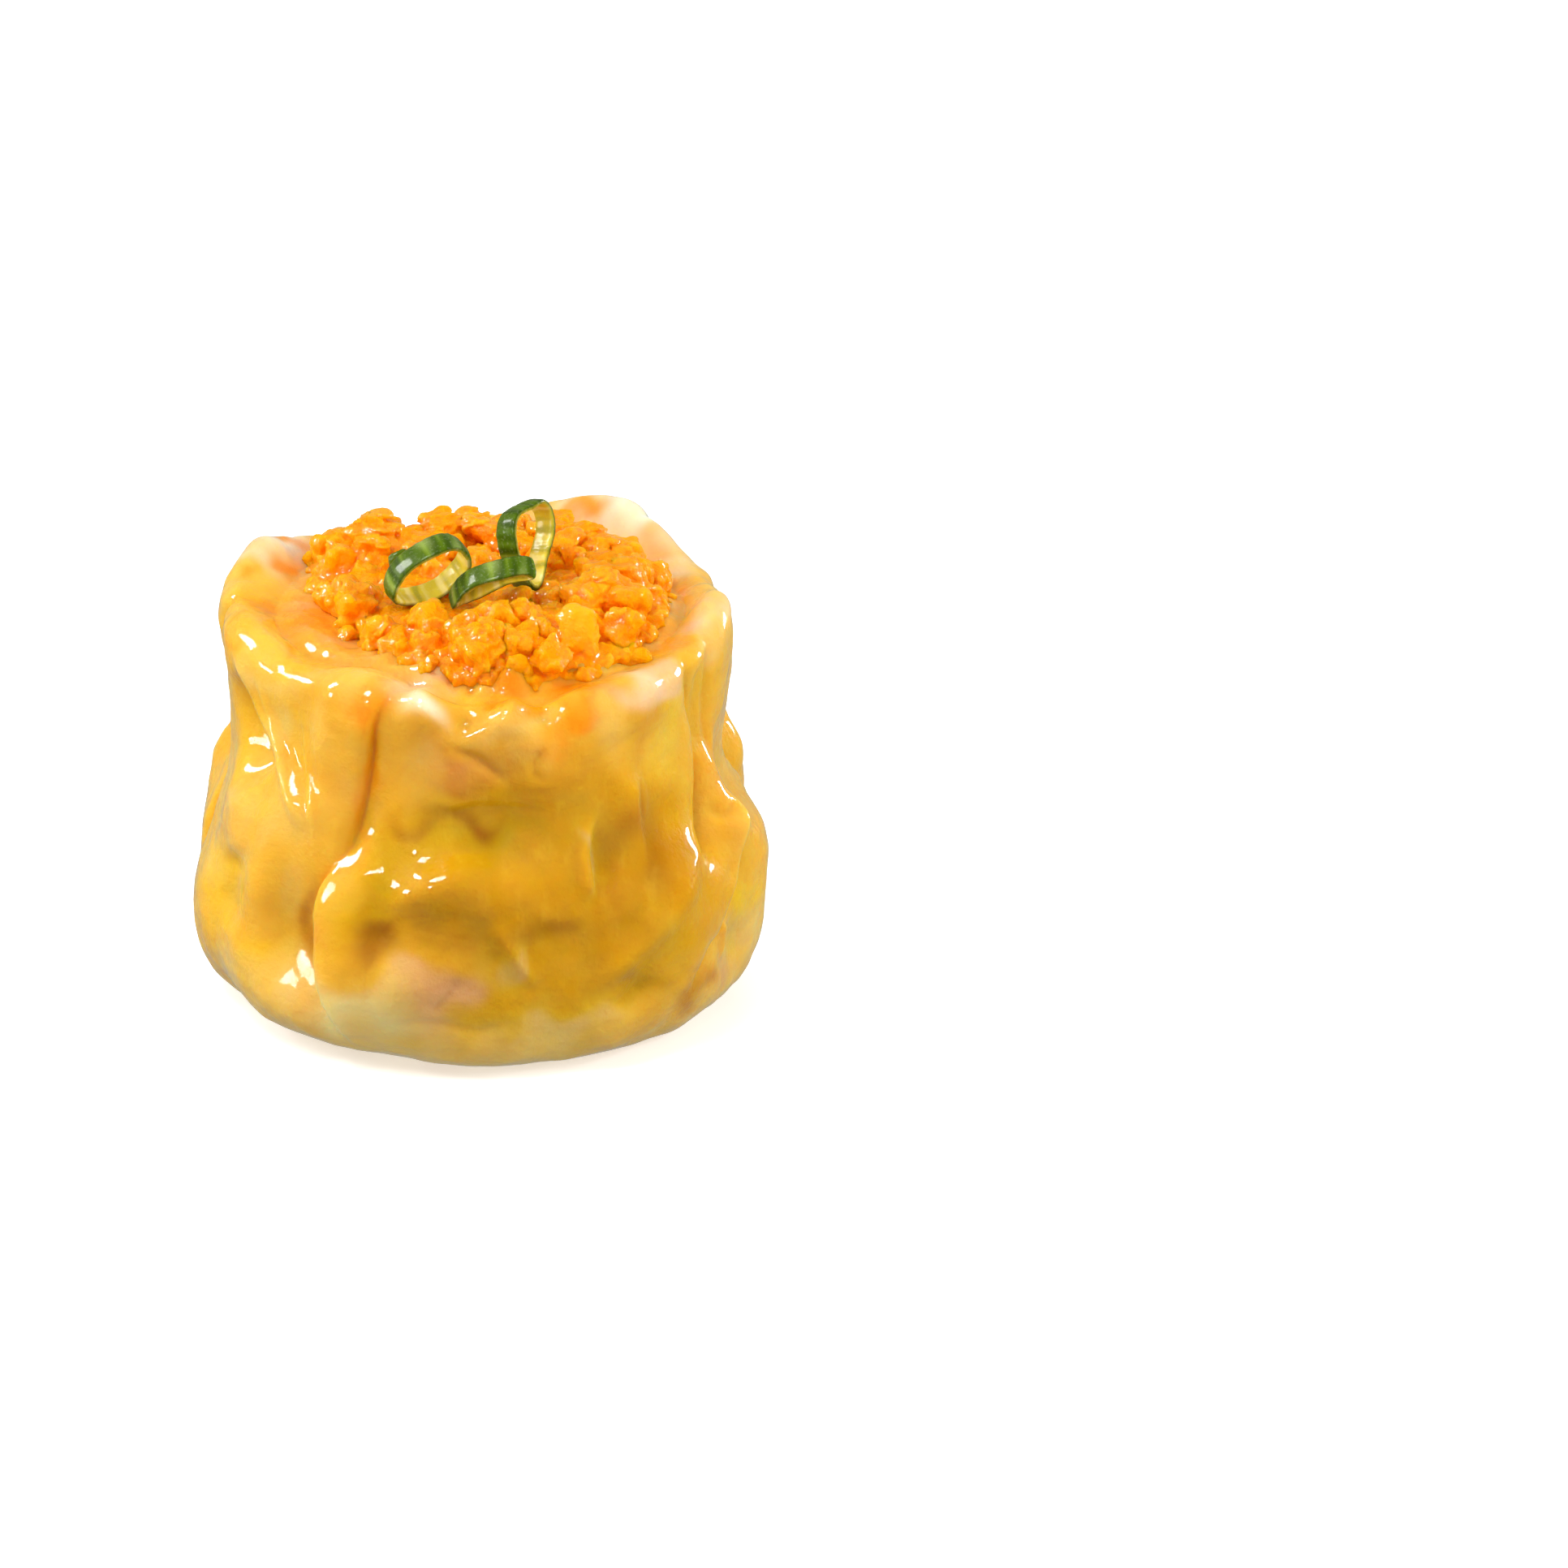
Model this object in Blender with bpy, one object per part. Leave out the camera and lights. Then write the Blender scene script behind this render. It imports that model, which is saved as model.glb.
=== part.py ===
"""A steamed shumai: a pleated wheat skin round a meat filling, heaped with chopped carrot and spring onion.

The model is in metres with +Z up. The dumpling stands on the floor with its origin under its middle.
Angles are degrees round it from its front (-Y) towards its right-hand side (+X).
Along the skin, "climb" is the distance up the skin in millimetres, counted so that it equals the height on the
side wall. Past the rim it runs on over the turned-in ledge to the skin's inner edge.
"""

import math

import bmesh
import bpy
import numpy as np
from mathutils import Matrix, Vector

MM = 0.001

# The dumpling's driving sizes, in millimetres
BELLY_RADIUS = 20.0
RIM_HEIGHT = 28.4
SKIN = 1.2
GAP = 0.3

# The skin's outer profile from the foot up the wall and over the rim, as shares of the belly radius and rim height
PROFILE = (
    (0.710, 0.000),
    (0.830, 0.021),
    (0.920, 0.070),
    (0.980, 0.158),
    (1.000, 0.275),
    (0.990, 0.405),
    (0.950, 0.521),
    (0.895, 0.620),
    (0.865, 0.725),
    (0.865, 0.838),
    (0.875, 0.926),
    (0.860, 0.982),
    (0.810, 1.007),
    (0.740, 0.996),
    (0.635, 0.965),
)
CLIMB_AT_FOOT = -2.8
CLIMB_AT_WAIST = 18.0
CLIMB_AT_RIM = 28.6

# Waves of the rim's height, of the wall's radius towards the rim, of the foot's radius and of the ledge's inner edge:
# angle, half width in degrees, size in millimetres
RIM_WAVES = (
    (147, 25, 3.3),
    (-117, 17, 2.1),
    (-88, 20, 0.6),
    (10, 36, -2.0),
    (54, 13, -0.5),
    (90, 15, 1.0),
    (-46, 18, -0.6),
    (188, 14, 0.5),
)
FLARES = (
    (-85, 30, 0.9),
    (40, 24, -0.3),
    (147, 24, 0.5),
    (205, 20, -0.3),
)
FOOT_WAVES = (
    (-92, 16, 0.6),
    (-62, 12, -0.3),
    (-32, 18, -0.7),
    (46, 14, 0.3),
    (92, 18, 0.5),
    (130, 16, 0.4),
    (215, 16, -0.5),
    (250, 14, 0.4),
)
EDGE_WAVES = (
    (-70, 22, 0.9),
    (8, 36, 2.8),
    (-24, 9, -1.6),
    (22, 8, -0.5),
    (50, 10, -1.0),
    (92, 20, 0.7),
    (150, 16, -0.8),
    (200, 22, 0.6),
    (255, 14, -0.6),
)

# Creases, where two bulges of the skin meet in a sharp valley: depth, half width, path of (angle, climb)
CREASES = (
    (2.3, 1.05, ((-22, 32), (-25, 28.5), (-26, 24), (-28, 21), (-29, 18), (-32, 15.5), (-34, 13), (-34, 10), (-31, 5))),
    (1.7, 0.80, ((58, 31), (58, 27), (59, 22), (58, 18.5), (56, 15.5), (52, 13))),
    (1.2, 0.80, ((71, 31), (68, 27), (67, 23), (69, 19.0))),
    (1.7, 0.85, ((74, 14.5), (70, 12.6), (63, 10.6), (57, 8.7), (52, 7.4), (46, 4.5))),
    (0.8, 0.80, ((-22, 4.5), (-10, 5.4), (0, 4.6), (8, 5.6))),
    (2.1, 1.00, ((100, 32), (102, 27), (98, 21), (104, 15), (112, 8))),
    (2.2, 1.00, ((136, 32), (134, 24), (139, 18), (136, 12), (126, 5))),
    (2.0, 0.95, ((176, 32), (174, 27), (169, 21), (171, 14), (180, 7))),
    (2.2, 1.00, ((206, 32), (208, 26), (213, 20), (209, 14), (201, 7))),
    (2.0, 0.95, ((236, 32), (234, 26), (229, 19), (234, 13), (241, 6))),
    (2.2, 1.00, ((272, 32), (270, 26), (266, 19), (268, 12), (261, 5))),
)

# Soft folds, ridges where the height is above zero and valleys below: height, half width, path
FOLDS = (
    (0.80, 0.80, ((-70, 29.5), (-62, 25.5), (-54, 23.5), (-48, 21.5), (-42, 18.8), (-36, 16.0))),
    (-1.50, 2.10, ((-70, 26.5), (-66, 24.0), (-61, 21.5), (-55, 19.6))),
    (-0.85, 1.70, ((-62, 14.5), (-60, 12), (-61, 8))),
    (-0.60, 1.00, ((64, 29), (63, 24), (64, 20))),
    (0.60, 1.30, ((31, 26), (34, 20), (31, 15), (24, 11))),
    (0.70, 1.80, ((-20, 13.6), (-8, 15.2), (4, 14.8), (14, 15.6))),
    (0.80, 1.00, ((-38, 26.5), (-37, 22), (-36, 18.5))),
    (0.90, 1.20, ((116, 29), (114, 23), (108, 18), (104, 12))),
    (0.90, 1.20, ((190, 29), (189, 24), (184, 18), (180, 13))),
    (-1.10, 1.60, ((120, 26), (122, 21), (118, 17))),
    (-1.20, 1.80, ((222, 26), (220, 20), (222, 15))),
    (0.90, 1.20, ((252, 29), (254, 22), (250, 16), (252, 11))),
)
FOLD_SAMPLES = 24
FOLD_FADE = 0.16
CREASE_ROUNDING = 0.45

# Laps, where one side of the skin lies over the other: rise, reach, side (1 towards greater angles) and path
LAPS = (
    (1.60, 4.0, -1, ((-20, 34), (-22, 31), (-26, 26), (-28, 21), (-31, 16.0), (-34, 12.0))),
    (1.60, 4.5, 1, ((-29, 18), (-32, 15.5), (-34, 13), (-34, 10), (-30, 4), (-27, 1))),
    (0.80, 5.0, -1, ((58, 29), (59, 22), (56, 15))),
    (0.90, 5.0, -1, ((73, 14), (63, 10.6), (52, 7.4), (45, 4))),
    (0.90, 4.5, 1, ((100, 31), (98, 21), (112, 8))),
    (0.90, 4.5, -1, ((136, 31), (139, 18), (126, 6))),
    (0.90, 4.5, 1, ((176, 32), (169, 21), (180, 7))),
    (0.90, 4.5, -1, ((206, 32), (213, 20), (201, 7))),
    (0.90, 4.5, 1, ((236, 31), (229, 19), (241, 6))),
    (0.90, 4.5, -1, ((272, 32), (266, 19), (261, 5))),
)
LAP_SOFTNESS = 0.80
LAP_FADE = 0.42

# Lumps and dents that the filling presses into the skin: angle, climb, radius, height
LUMPS = (
    (-3, 21.6, 3.4, 0.70),
    (8, 17.6, 3.0, -1.30),
    (-10, 17.0, 2.2, -1.00),
    (14, 23.5, 3.0, 0.35),
    (-19, 11.6, 2.4, -1.30),
    (-14, 8.0, 3.0, 0.80),
    (-24, 14.8, 2.2, 0.60),
    (3, 12.2, 2.6, -0.70),
    (26, 16.0, 3.0, -1.20),
    (18, 9.0, 3.6, 0.60),
    (33, 6.0, 2.4, -0.60),
    (40, 11.5, 3.0, 0.55),
    (44, 20.0, 3.2, 0.35),
    (-42, 9.8, 3.4, -1.90),
    (-41, 4.0, 2.8, 0.95),
    (-48, 16.6, 2.8, 1.10),
    (-64, 17.2, 2.6, 0.90),
    (-52, 12.5, 2.2, 0.45),
    (-75, 8.5, 4.0, 0.55),
    (-92, 15.0, 4.2, -1.0),
    (67, 15.6, 2.4, 1.40),
    (82, 12.0, 3.0, 0.70),
    (78, 19.0, 2.6, -1.10),
    (84, 6.5, 3.0, 0.35),
    (86, 17.0, 3.4, -1.10),
    (88, 9.5, 2.6, -0.25),
    (104, 19.5, 3.2, -1.10),
    (66, 6.4, 2.4, -0.90),
    (105, 8.0, 3.6, 0.35),
    (122, 13.0, 4.0, 0.90),
    (150, 10.0, 4.2, 0.80),
    (156, 20.0, 3.4, -1.00),
    (192, 9.0, 4.2, 0.80),
    (194, 17.0, 3.0, -0.90),
    (222, 11.0, 3.8, 0.90),
    (248, 8.0, 3.6, 0.80),
    (258, 18.5, 3.0, -0.90),
)

# The inside of the skin and the filling follow this share of the relief, and never let the skin in a groove become
# thinner than its own thickness less this much.
INNER_RELIEF = 0.6
THINNING = 0.45

# The skin's mesh
COLUMNS = 80
WALL_CLIMBS = (-2.8, -1.6, -0.5, 0.8, 2.2, 3.7, 5.2, 6.8, 8.3, 9.8, 11.3, 12.8, 14.2, 15.6, 17.0, 18.4, 19.8, 21.2,
               22.6, 24.1, 25.6, 27.0, 28.1, 29.0, 30.0, 31.2, 32.4)
LINING_CLIMBS = (32.2, 30.6, 29.2, 27.0, 23.6, 20.2, 16.8, 13.4, 9.8, 5.6, 2.2, -0.4)
FILLING_CLIMBS = (-0.4, 2.2, 5.6, 9.8, 13.4, 16.8, 20.2, 23.6, 25.6)

# The filling's top, seen round the edge of the carrot: how far it lies under the skin's inner edge, and its crown
MEAT_EDGE_DROP = 0.35
MEAT_TOP_HEIGHT = 28.0
MEAT_TOP_SHARES = (1.0, 0.9, 0.7, 0.35)

# The heap of chopped carrot: its core and the pieces on it
SHOULDER_CLIMB = 30.0
LEDGE_BULGE = 0.2
HEAP_RADIUS = 12.2
HEAP_HEIGHT = 29.6
HEAP_CENTRE = (0.6, 0.4)
HEAP_RINGS = 6
HEAP_COLUMNS = 28
HEAP_EDGES = (
    (-62, 24, -2.0),
    (-122, 22, 1.1),
    (10, 32, 1.8),
    (150, 20, -0.6),
)
HEAP_RISES = (
    (-8.0, 6.0, 3.0, 3.2),
    (-1.0, 7.5, 3.0, 0.2),
    (6.5, 6.5, 3.0, 1.0),
    (7.5, 0.5, 3.0, 0.6),
    (4.0, -7.0, 2.8, 0.6),
    (-4.0, -8.0, 3.0, 0.3),
    (8.5, -5.5, 2.0, -1.0),
    (1.5, -4.6, 1.8, -0.6),
)

# Layers of carrot pieces: how many, how far out they reach as a share of the heap, how far up they are moved as a
# share of their size, and how much room they leave round the spring onion
CHUNK_LAYERS = (
    (78, 1.0, 0.15, 0.3),
    (44, 0.86, 1.25, 2.0),
)
CHUNK_SIZE = (0.9, 1.75)
CHUNK_SEED = 11

# The spring onion: wall of each cut ring. The pieces are set down on the heap's core with this much room under them
GARNISH_ROOM = 0.4
RING_WALL = 0.42
RING_COLUMNS = 28
# name, centre, long axis, bore axis, long and short half widths, cut length, teardrop share, bow along the length
RINGS = (
    ("scallion_ring_left", (-3.7, -3.6, 32.5), (0.88, 0.234, 0.414), (-0.365, 0.888, 0.276), 3.0, 1.75, 2.2, 0.05, 0.0),
    ("scallion_ring_right", (2.8, 0.0, 32.8), (0.15, 0.30, 0.94), (-0.72, 0.60, -0.28), 2.75, 1.5, 2.3, -0.34, 0.0),
    ("scallion_strip", (1.5, -5.2, 31.3), (0.86, 0.30, 0.40), (-0.10, 0.84, 0.53), 3.1, 0.50, 2.0, 0.0, 0.35),
)
SCRAP_CENTRE = (-6.1, 1.6, 32.2)
SCRAP_SIZE = (1.7, 0.35, 0.8)

COLOURS = {
    "skin": ((0.83, 0.50, 0.10, 1.0), 0.25),
    "meat": ((0.88, 0.50, 0.27, 1.0), 0.30),
    "carrot": ((0.93, 0.30, 0.02, 1.0), 0.22),
    "scallion": ((0.10, 0.26, 0.02, 1.0), 0.30),
}


def smooth_curve(points, samples):
    """Points evenly spaced in parameter on a centripetal Catmull-Rom curve through the given points."""
    given = np.array(points, float)
    padded = np.vstack([2 * given[0] - given[1], given, 2 * given[-1] - given[-2]])
    steps = np.sqrt(np.linalg.norm(np.diff(padded, axis=0), axis=1))
    knots = np.concatenate([[0.0], np.cumsum(steps)])
    wanted = np.linspace(knots[1], knots[-2], samples)
    span = np.clip(np.searchsorted(knots, wanted, side="right") - 1, 1, len(given) - 1)
    k0, k1, k2, k3 = (knots[span + i][:, None] for i in (-1, 0, 1, 2))
    p0, p1, p2, p3 = (padded[span + i] for i in (-1, 0, 1, 2))
    t = wanted[:, None]
    a1 = (k1 - t) / (k1 - k0) * p0 + (t - k0) / (k1 - k0) * p1
    a2 = (k2 - t) / (k2 - k1) * p1 + (t - k1) / (k2 - k1) * p2
    a3 = (k3 - t) / (k3 - k2) * p2 + (t - k2) / (k3 - k2) * p3
    b1 = (k2 - t) / (k2 - k0) * a1 + (t - k0) / (k2 - k0) * a2
    b2 = (k3 - t) / (k3 - k1) * a2 + (t - k1) / (k3 - k1) * a3
    return (k2 - t) / (k2 - k1) * b1 + (t - k1) / (k2 - k1) * b2


def smooth_step(value, low, high):
    share = np.clip((value - low) / (high - low), 0.0, 1.0)
    return share * share * (3.0 - 2.0 * share)


def turn_between(angle, centre):
    """Degrees from centre to angle, the short way round."""
    return (angle - centre + 180.0) % 360.0 - 180.0


def waves(angle, table):
    """The sum of smooth bumps round the dumpling."""
    total = np.zeros_like(angle)
    for centre, half_width, size in table:
        total += size * np.exp(-((turn_between(angle, centre) / half_width) ** 2))
    return total


PROFILE_CURVE = smooth_curve([(r * BELLY_RADIUS, z * RIM_HEIGHT) for r, z in PROFILE], 400)
PROFILE_STEPS = np.linalg.norm(np.diff(PROFILE_CURVE, axis=0), axis=1)
PROFILE_CLIMB = CLIMB_AT_FOOT + np.concatenate([[0.0], np.cumsum(PROFILE_STEPS)])
PROFILE_TANGENT = np.gradient(PROFILE_CURVE, axis=0)
PROFILE_TANGENT /= np.linalg.norm(PROFILE_TANGENT, axis=1)[:, None]


def along_path(angle, climb, path):
    """For points on the skin: distance to a path, side of it (1 towards greater angles) and share along it."""
    curve = smooth_curve(path, FOLD_SAMPLES)
    middle = curve[:, 0].mean()
    around = math.radians(1.0) * BELLY_RADIUS
    point = np.stack([turn_between(angle, middle) * around, climb], axis=-1)[..., None, :]
    line = np.stack([(curve[:, 0] - middle) * around, curve[:, 1]], axis=-1)
    start, run = line[:-1], np.diff(line, axis=0)
    share = np.clip(((point - start) * run).sum(-1) / (run * run).sum(-1), 0.0, 1.0)
    away = point - (start + share[..., None] * run)
    distance = np.linalg.norm(away, axis=-1)
    nearest = distance.argmin(axis=-1)[..., None]
    cross = run[:, 0] * away[..., 1] - run[:, 1] * away[..., 0]
    side = np.sign(np.take_along_axis(cross, nearest, -1))[..., 0]
    distance = np.take_along_axis(distance, nearest, -1)[..., 0]
    position = (nearest[..., 0] + np.take_along_axis(share, nearest, -1)[..., 0]) / len(run)
    return distance, side, position


def fade(position, share=FOLD_FADE):
    """Fades a fold out at both ends of its path."""
    return smooth_step(position, 0.0, share) * smooth_step(1.0 - position, 0.0, share)


def relief(angle, climb):
    """How far the skin stands out of its smooth profile, in millimetres."""
    total = np.zeros_like(angle)
    for depth, half_width, path in CREASES:
        distance, _, position = along_path(angle, climb, path)
        total -= depth * np.exp(-np.hypot(distance, CREASE_ROUNDING) / half_width) * fade(position)
    for height, half_width, path in FOLDS:
        distance, _, position = along_path(angle, climb, path)
        total += height * np.exp(-((distance / half_width) ** 2)) * fade(position)
    for rise, reach, over, path in LAPS:
        distance, side, position = along_path(angle, climb, path)
        signed = distance * side * over
        edge = 0.5 * (1.0 + np.tanh(signed / LAP_SOFTNESS))
        total += rise * edge * np.exp(-np.clip(signed, 0.0, None) / reach) * fade(position, LAP_FADE)
    around = math.radians(1.0) * BELLY_RADIUS
    for centre, height, radius, size in LUMPS:
        off = np.hypot(turn_between(angle, centre) * around, climb - height)
        total += size * np.exp(-((off / radius) ** 2))
    return total * smooth_step(climb, CLIMB_AT_FOOT, 1.5)


def skin_points(angle, climb, inset=0.0):
    """Points of the skin, or of a surface inset under it, for arrays of angles and climbs."""
    radius = np.interp(climb, PROFILE_CLIMB, PROFILE_CURVE[:, 0])
    height = np.interp(climb, PROFILE_CLIMB, PROFILE_CURVE[:, 1])
    run = np.interp(climb, PROFILE_CLIMB, PROFILE_TANGENT[:, 0])
    rise = np.interp(climb, PROFILE_CLIMB, PROFILE_TANGENT[:, 1])
    out = relief(angle, climb)
    if inset > 0.0:
        out = np.minimum(out * INNER_RELIEF, out + THINNING) - inset
    radius = radius + rise * out
    height = height - run * out
    upper = smooth_step(climb, CLIMB_AT_WAIST, CLIMB_AT_RIM)
    ledge = smooth_step(climb, CLIMB_AT_RIM + 1.0, PROFILE_CLIMB[-1] + 1.5)
    lower = 1.0 - smooth_step(climb, -1.0, 9.0)
    height = height + waves(angle, RIM_WAVES) * upper * (1.0 - 0.85 * ledge)
    radius = radius + waves(angle, FLARES) * upper * (1.0 - ledge) + waves(angle, FOOT_WAVES) * lower
    radius = radius + waves(angle, EDGE_WAVES) * ledge
    turn = np.radians(angle)
    return np.stack([radius * np.sin(turn), -radius * np.cos(turn), height], axis=-1)


def ring_angles(columns):
    return np.arange(columns) * 360.0 / columns


def new_object(name, finish, build):
    """One named object from a bmesh that build fills in millimetres, scaled to metres."""
    shape = bmesh.new()
    build(shape)
    bmesh.ops.scale(shape, vec=(MM, MM, MM), verts=shape.verts)
    mesh = bpy.data.meshes.new(name)
    shape.to_mesh(mesh)
    shape.free()
    mesh.shade_smooth()
    mesh.set_sharp_from_angle(angle=math.radians(50))
    mesh.materials.append(finish)
    thing = bpy.data.objects.new(name, mesh)
    bpy.context.scene.collection.objects.link(thing)
    return thing


def new_finish(name):
    colour, roughness = COLOURS[name]
    finish = bpy.data.materials.new(name)
    finish.use_nodes = True
    shader = finish.node_tree.nodes["Principled BSDF"]
    shader.inputs["Base Color"].default_value = colour
    shader.inputs["Roughness"].default_value = roughness
    shader.inputs["Metallic"].default_value = 0.0
    return finish


def join_rows(shape, rows):
    """Faces from each row of vertices to the next, pointing outwards where the rows climb."""
    for low, high in zip(rows, rows[1:]):
        for i in range(len(low)):
            j = (i + 1) % len(low)
            shape.faces.new((low[i], low[j], high[j], high[i]))


def stack_of_rings(shape, rings, first, last):
    """Faces through closed rings of points, one above the other, closed at each end by a fan on a middle point."""
    rows = [[shape.verts.new(tuple(p)) for p in ring] for ring in rings]
    join_rows(shape, rows)
    for row, middle in ((rows[0][::-1], first), (rows[-1], last)):
        centre = shape.verts.new(middle)
        for i in range(len(row)):
            shape.faces.new((row[i], row[(i + 1) % len(row)], centre))


def wall_rings(climbs, inset=0.0):
    angle = ring_angles(COLUMNS)
    return [skin_points(angle, np.full(COLUMNS, float(c)), inset) for c in climbs]


def build_wrapper(shape):
    """The skin: outside up from the foot, round the ledge's edge, then down the inside to its floor."""
    outside = wall_rings(WALL_CLIMBS)
    inside = wall_rings(LINING_CLIMBS, SKIN)
    foot = np.array([[p[0], p[1], 0.0] for p in outside[0]])
    lining_floor = inside[-1].copy()
    lining_floor[:, 2] = SKIN
    lining_floor[:, :2] *= 0.93
    rings = [foot, *outside[1:], *inside, lining_floor]
    stack_of_rings(shape, rings, (0.0, 0.0, 0.0), (0.0, 0.0, SKIN))


def opening(angle):
    """Radius and height of the skin's inner edge."""
    edge = skin_points(angle, np.full_like(angle, WALL_CLIMBS[-1]))
    return np.hypot(edge[..., 0], edge[..., 1]), edge[..., 2]


def meat_top(radius, angle):
    """Height of the filling's top inside the skin's ledge."""
    edge_radius, edge_height = opening(angle)
    share = np.clip(radius / (edge_radius - GAP - 0.1), 0.0, 1.0)
    low = edge_height - MEAT_EDGE_DROP
    return low + (MEAT_TOP_HEIGHT - low) * (1.0 - share**3)


def build_filling(shape):
    """The meat: it fills the skin, a gap inside it, and domes up through the opening."""
    inside = np.array(wall_rings(FILLING_CLIMBS, SKIN + 2 * GAP))
    reach = np.hypot(inside[..., 0], inside[..., 1])
    narrow = np.minimum(np.minimum(np.roll(reach, 1, axis=1), np.roll(reach, -1, axis=1)), reach)
    inside[..., :2] *= (narrow / reach)[..., None]
    floor = inside[0] * (0.92, 0.92, 0.0) + (0.0, 0.0, SKIN + GAP)
    angle = ring_angles(COLUMNS)
    turn = np.radians(angle)
    neck = opening(angle)[0] - GAP - 0.1
    under_ledge = skin_points(angle, np.full_like(angle, LINING_CLIMBS[0]), SKIN + GAP)[:, 2]
    top = [np.stack([neck * np.sin(turn), -neck * np.cos(turn), under_ledge], axis=-1)]
    for share in MEAT_TOP_SHARES:
        radius = neck * share
        top.append(np.stack([radius * np.sin(turn), -radius * np.cos(turn), meat_top(radius, angle)], axis=-1))
    stack_of_rings(shape, [floor, *inside, *top], (0.0, 0.0, SKIN + GAP), (0.0, 0.0, MEAT_TOP_HEIGHT))


def heap_edge(angle):
    return HEAP_RADIUS + waves(angle, HEAP_EDGES)


def support_height(x, y):
    """The lowest height at which the carrot lies clear of the filling's top and the skin's ledge."""
    radius = np.hypot(x, y)
    angle = np.degrees(np.arctan2(x, -y))
    on_meat = meat_top(radius, angle)
    edge_radius, edge_height = opening(angle)
    shoulder = skin_points(angle, np.full_like(angle, SHOULDER_CLIMB))
    shoulder_radius = np.hypot(shoulder[..., 0], shoulder[..., 1])
    share = np.clip((radius - edge_radius) / (shoulder_radius - edge_radius), 0.0, 1.0)
    on_ledge = edge_height + (shoulder[..., 2] - edge_height) * share + LEDGE_BULGE * 4.0 * share * (1.0 - share)
    over = radius > edge_radius - 2 * GAP
    return np.where(over, np.maximum(on_meat, on_ledge), on_meat) + GAP + 0.12


def heap_top(x, y):
    """Height of the carrot heap's core."""
    dx, dy = x - HEAP_CENTRE[0], y - HEAP_CENTRE[1]
    angle = np.degrees(np.arctan2(dx, -dy))
    share = np.clip(np.hypot(dx, dy) / heap_edge(angle), 0.0, 1.0)
    low = support_height(x, y) + 0.35
    top = low + (HEAP_HEIGHT - low) * (1.0 - share**3.2)
    for px, py, radius, size in HEAP_RISES:
        top = top + size * np.exp(-((x - px) ** 2 + (y - py) ** 2) / radius**2) * (1.0 - share**4)
    return np.maximum(top, low)


def heap_spot(share, angle):
    """A point on the core's top, at a share of the way out from the heap's middle."""
    reach = heap_edge(angle) * share
    turn = np.radians(angle)
    x = HEAP_CENTRE[0] + reach * np.sin(turn)
    y = HEAP_CENTRE[1] - reach * np.cos(turn)
    return x, y


def build_heap_core(shape):
    angle = ring_angles(HEAP_COLUMNS)
    under, over = [], []
    for share in np.linspace(0.25, 1.0, HEAP_RINGS):
        x, y = heap_spot(share, angle)
        under.append(np.stack([x, y, support_height(x, y)], axis=-1))
        over.append(np.stack([x, y, heap_top(x, y)], axis=-1))
    x, y = np.array(HEAP_CENTRE[0]), np.array(HEAP_CENTRE[1])
    low = (float(x), float(y), float(support_height(x, y)))
    high = (float(x), float(y), float(heap_top(x, y)))
    stack_of_rings(shape, [*under, *over[::-1]], low, high)


def ring_frame(centre, long_axis, bore_axis):
    """A matrix whose x runs along a ring's long axis and whose z runs along its bore."""
    z = Vector(bore_axis).normalized()
    x = Vector(long_axis)
    x = (x - x.dot(z) * z).normalized()
    y = z.cross(x)
    return Matrix.Translation(centre) @ Matrix((x, y, z)).transposed().to_4x4()


def ring_rows(long_half, short_half, length, teardrop, bow):
    """Rings of points of a cut scallion loop in its own frame: outside then inside, each along the bore."""
    turn = np.radians(ring_angles(RING_COLUMNS))
    rows = []
    for offset, ends in ((RING_WALL / 2, (-0.5, 0.0, 0.5)), (-RING_WALL / 2, (0.5, 0.0, -0.5))):
        for end in ends:
            a, b = long_half + offset, short_half + offset
            narrow = 1.0 + teardrop * np.cos(turn)
            x = a * np.cos(turn)
            y = b * np.sin(turn) * narrow + bow * (np.cos(turn) ** 2 - 0.5) * 2.0
            barrel = 1.0 - 0.35 * abs(end) * 0.2
            rows.append(np.stack([x * barrel, y * barrel, np.full_like(x, end * length)], axis=-1))
    return rows


def lift_onto_heap(points):
    """How far points have to move up to lie on the heap's core."""
    return GARNISH_ROOM - float((points[:, 2] - heap_top(points[:, 0], points[:, 1])).min())


def placed_ring(spec):
    """A ring's rows of points, set down on the heap."""
    _, centre, long_axis, bore_axis, *sizes = spec
    frame = np.array(ring_frame(centre, long_axis, bore_axis))
    rows = [row @ frame[:3, :3].T + frame[:3, 3] for row in ring_rows(*sizes)]
    lift = lift_onto_heap(np.concatenate(rows))
    return [row + (0.0, 0.0, lift) for row in rows]


def build_ring(shape, spec):
    """A hollow loop cut from a spring onion leaf."""
    rows = [[shape.verts.new(tuple(p)) for p in row] for row in placed_ring(spec)]
    join_rows(shape, [*rows, rows[0]])


def scrap_rows():
    """The four-cornered cross-sections of the onion scrap, set down on the heap."""
    length, thick, tall = SCRAP_SIZE
    rows = []
    for share in np.linspace(-0.5, 0.5, 5):
        lift = 0.35 * (1.0 - 4.0 * share * share)
        width = tall * (1.0 - 1.2 * share * share)
        rows.append([(share * length, side * thick / 2, lift + up * width / 2)
                     for side, up in ((-1, -1), (1, -1), (1, 1), (-1, 1))])
    turn = np.array(Matrix.Rotation(math.radians(20), 3, "Z") @ Matrix.Rotation(math.radians(-25), 3, "X"))
    rows = np.array(rows) @ turn.T + SCRAP_CENTRE
    rows[..., 2] += lift_onto_heap(rows.reshape(-1, 3))
    return rows


def build_scrap(shape):
    """A short curled strip of spring onion."""
    sections = [[shape.verts.new(tuple(corner)) for corner in row] for row in scrap_rows()]
    join_rows(shape, sections)
    shape.faces.new(sections[0][::-1])
    shape.faces.new(sections[-1])


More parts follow.
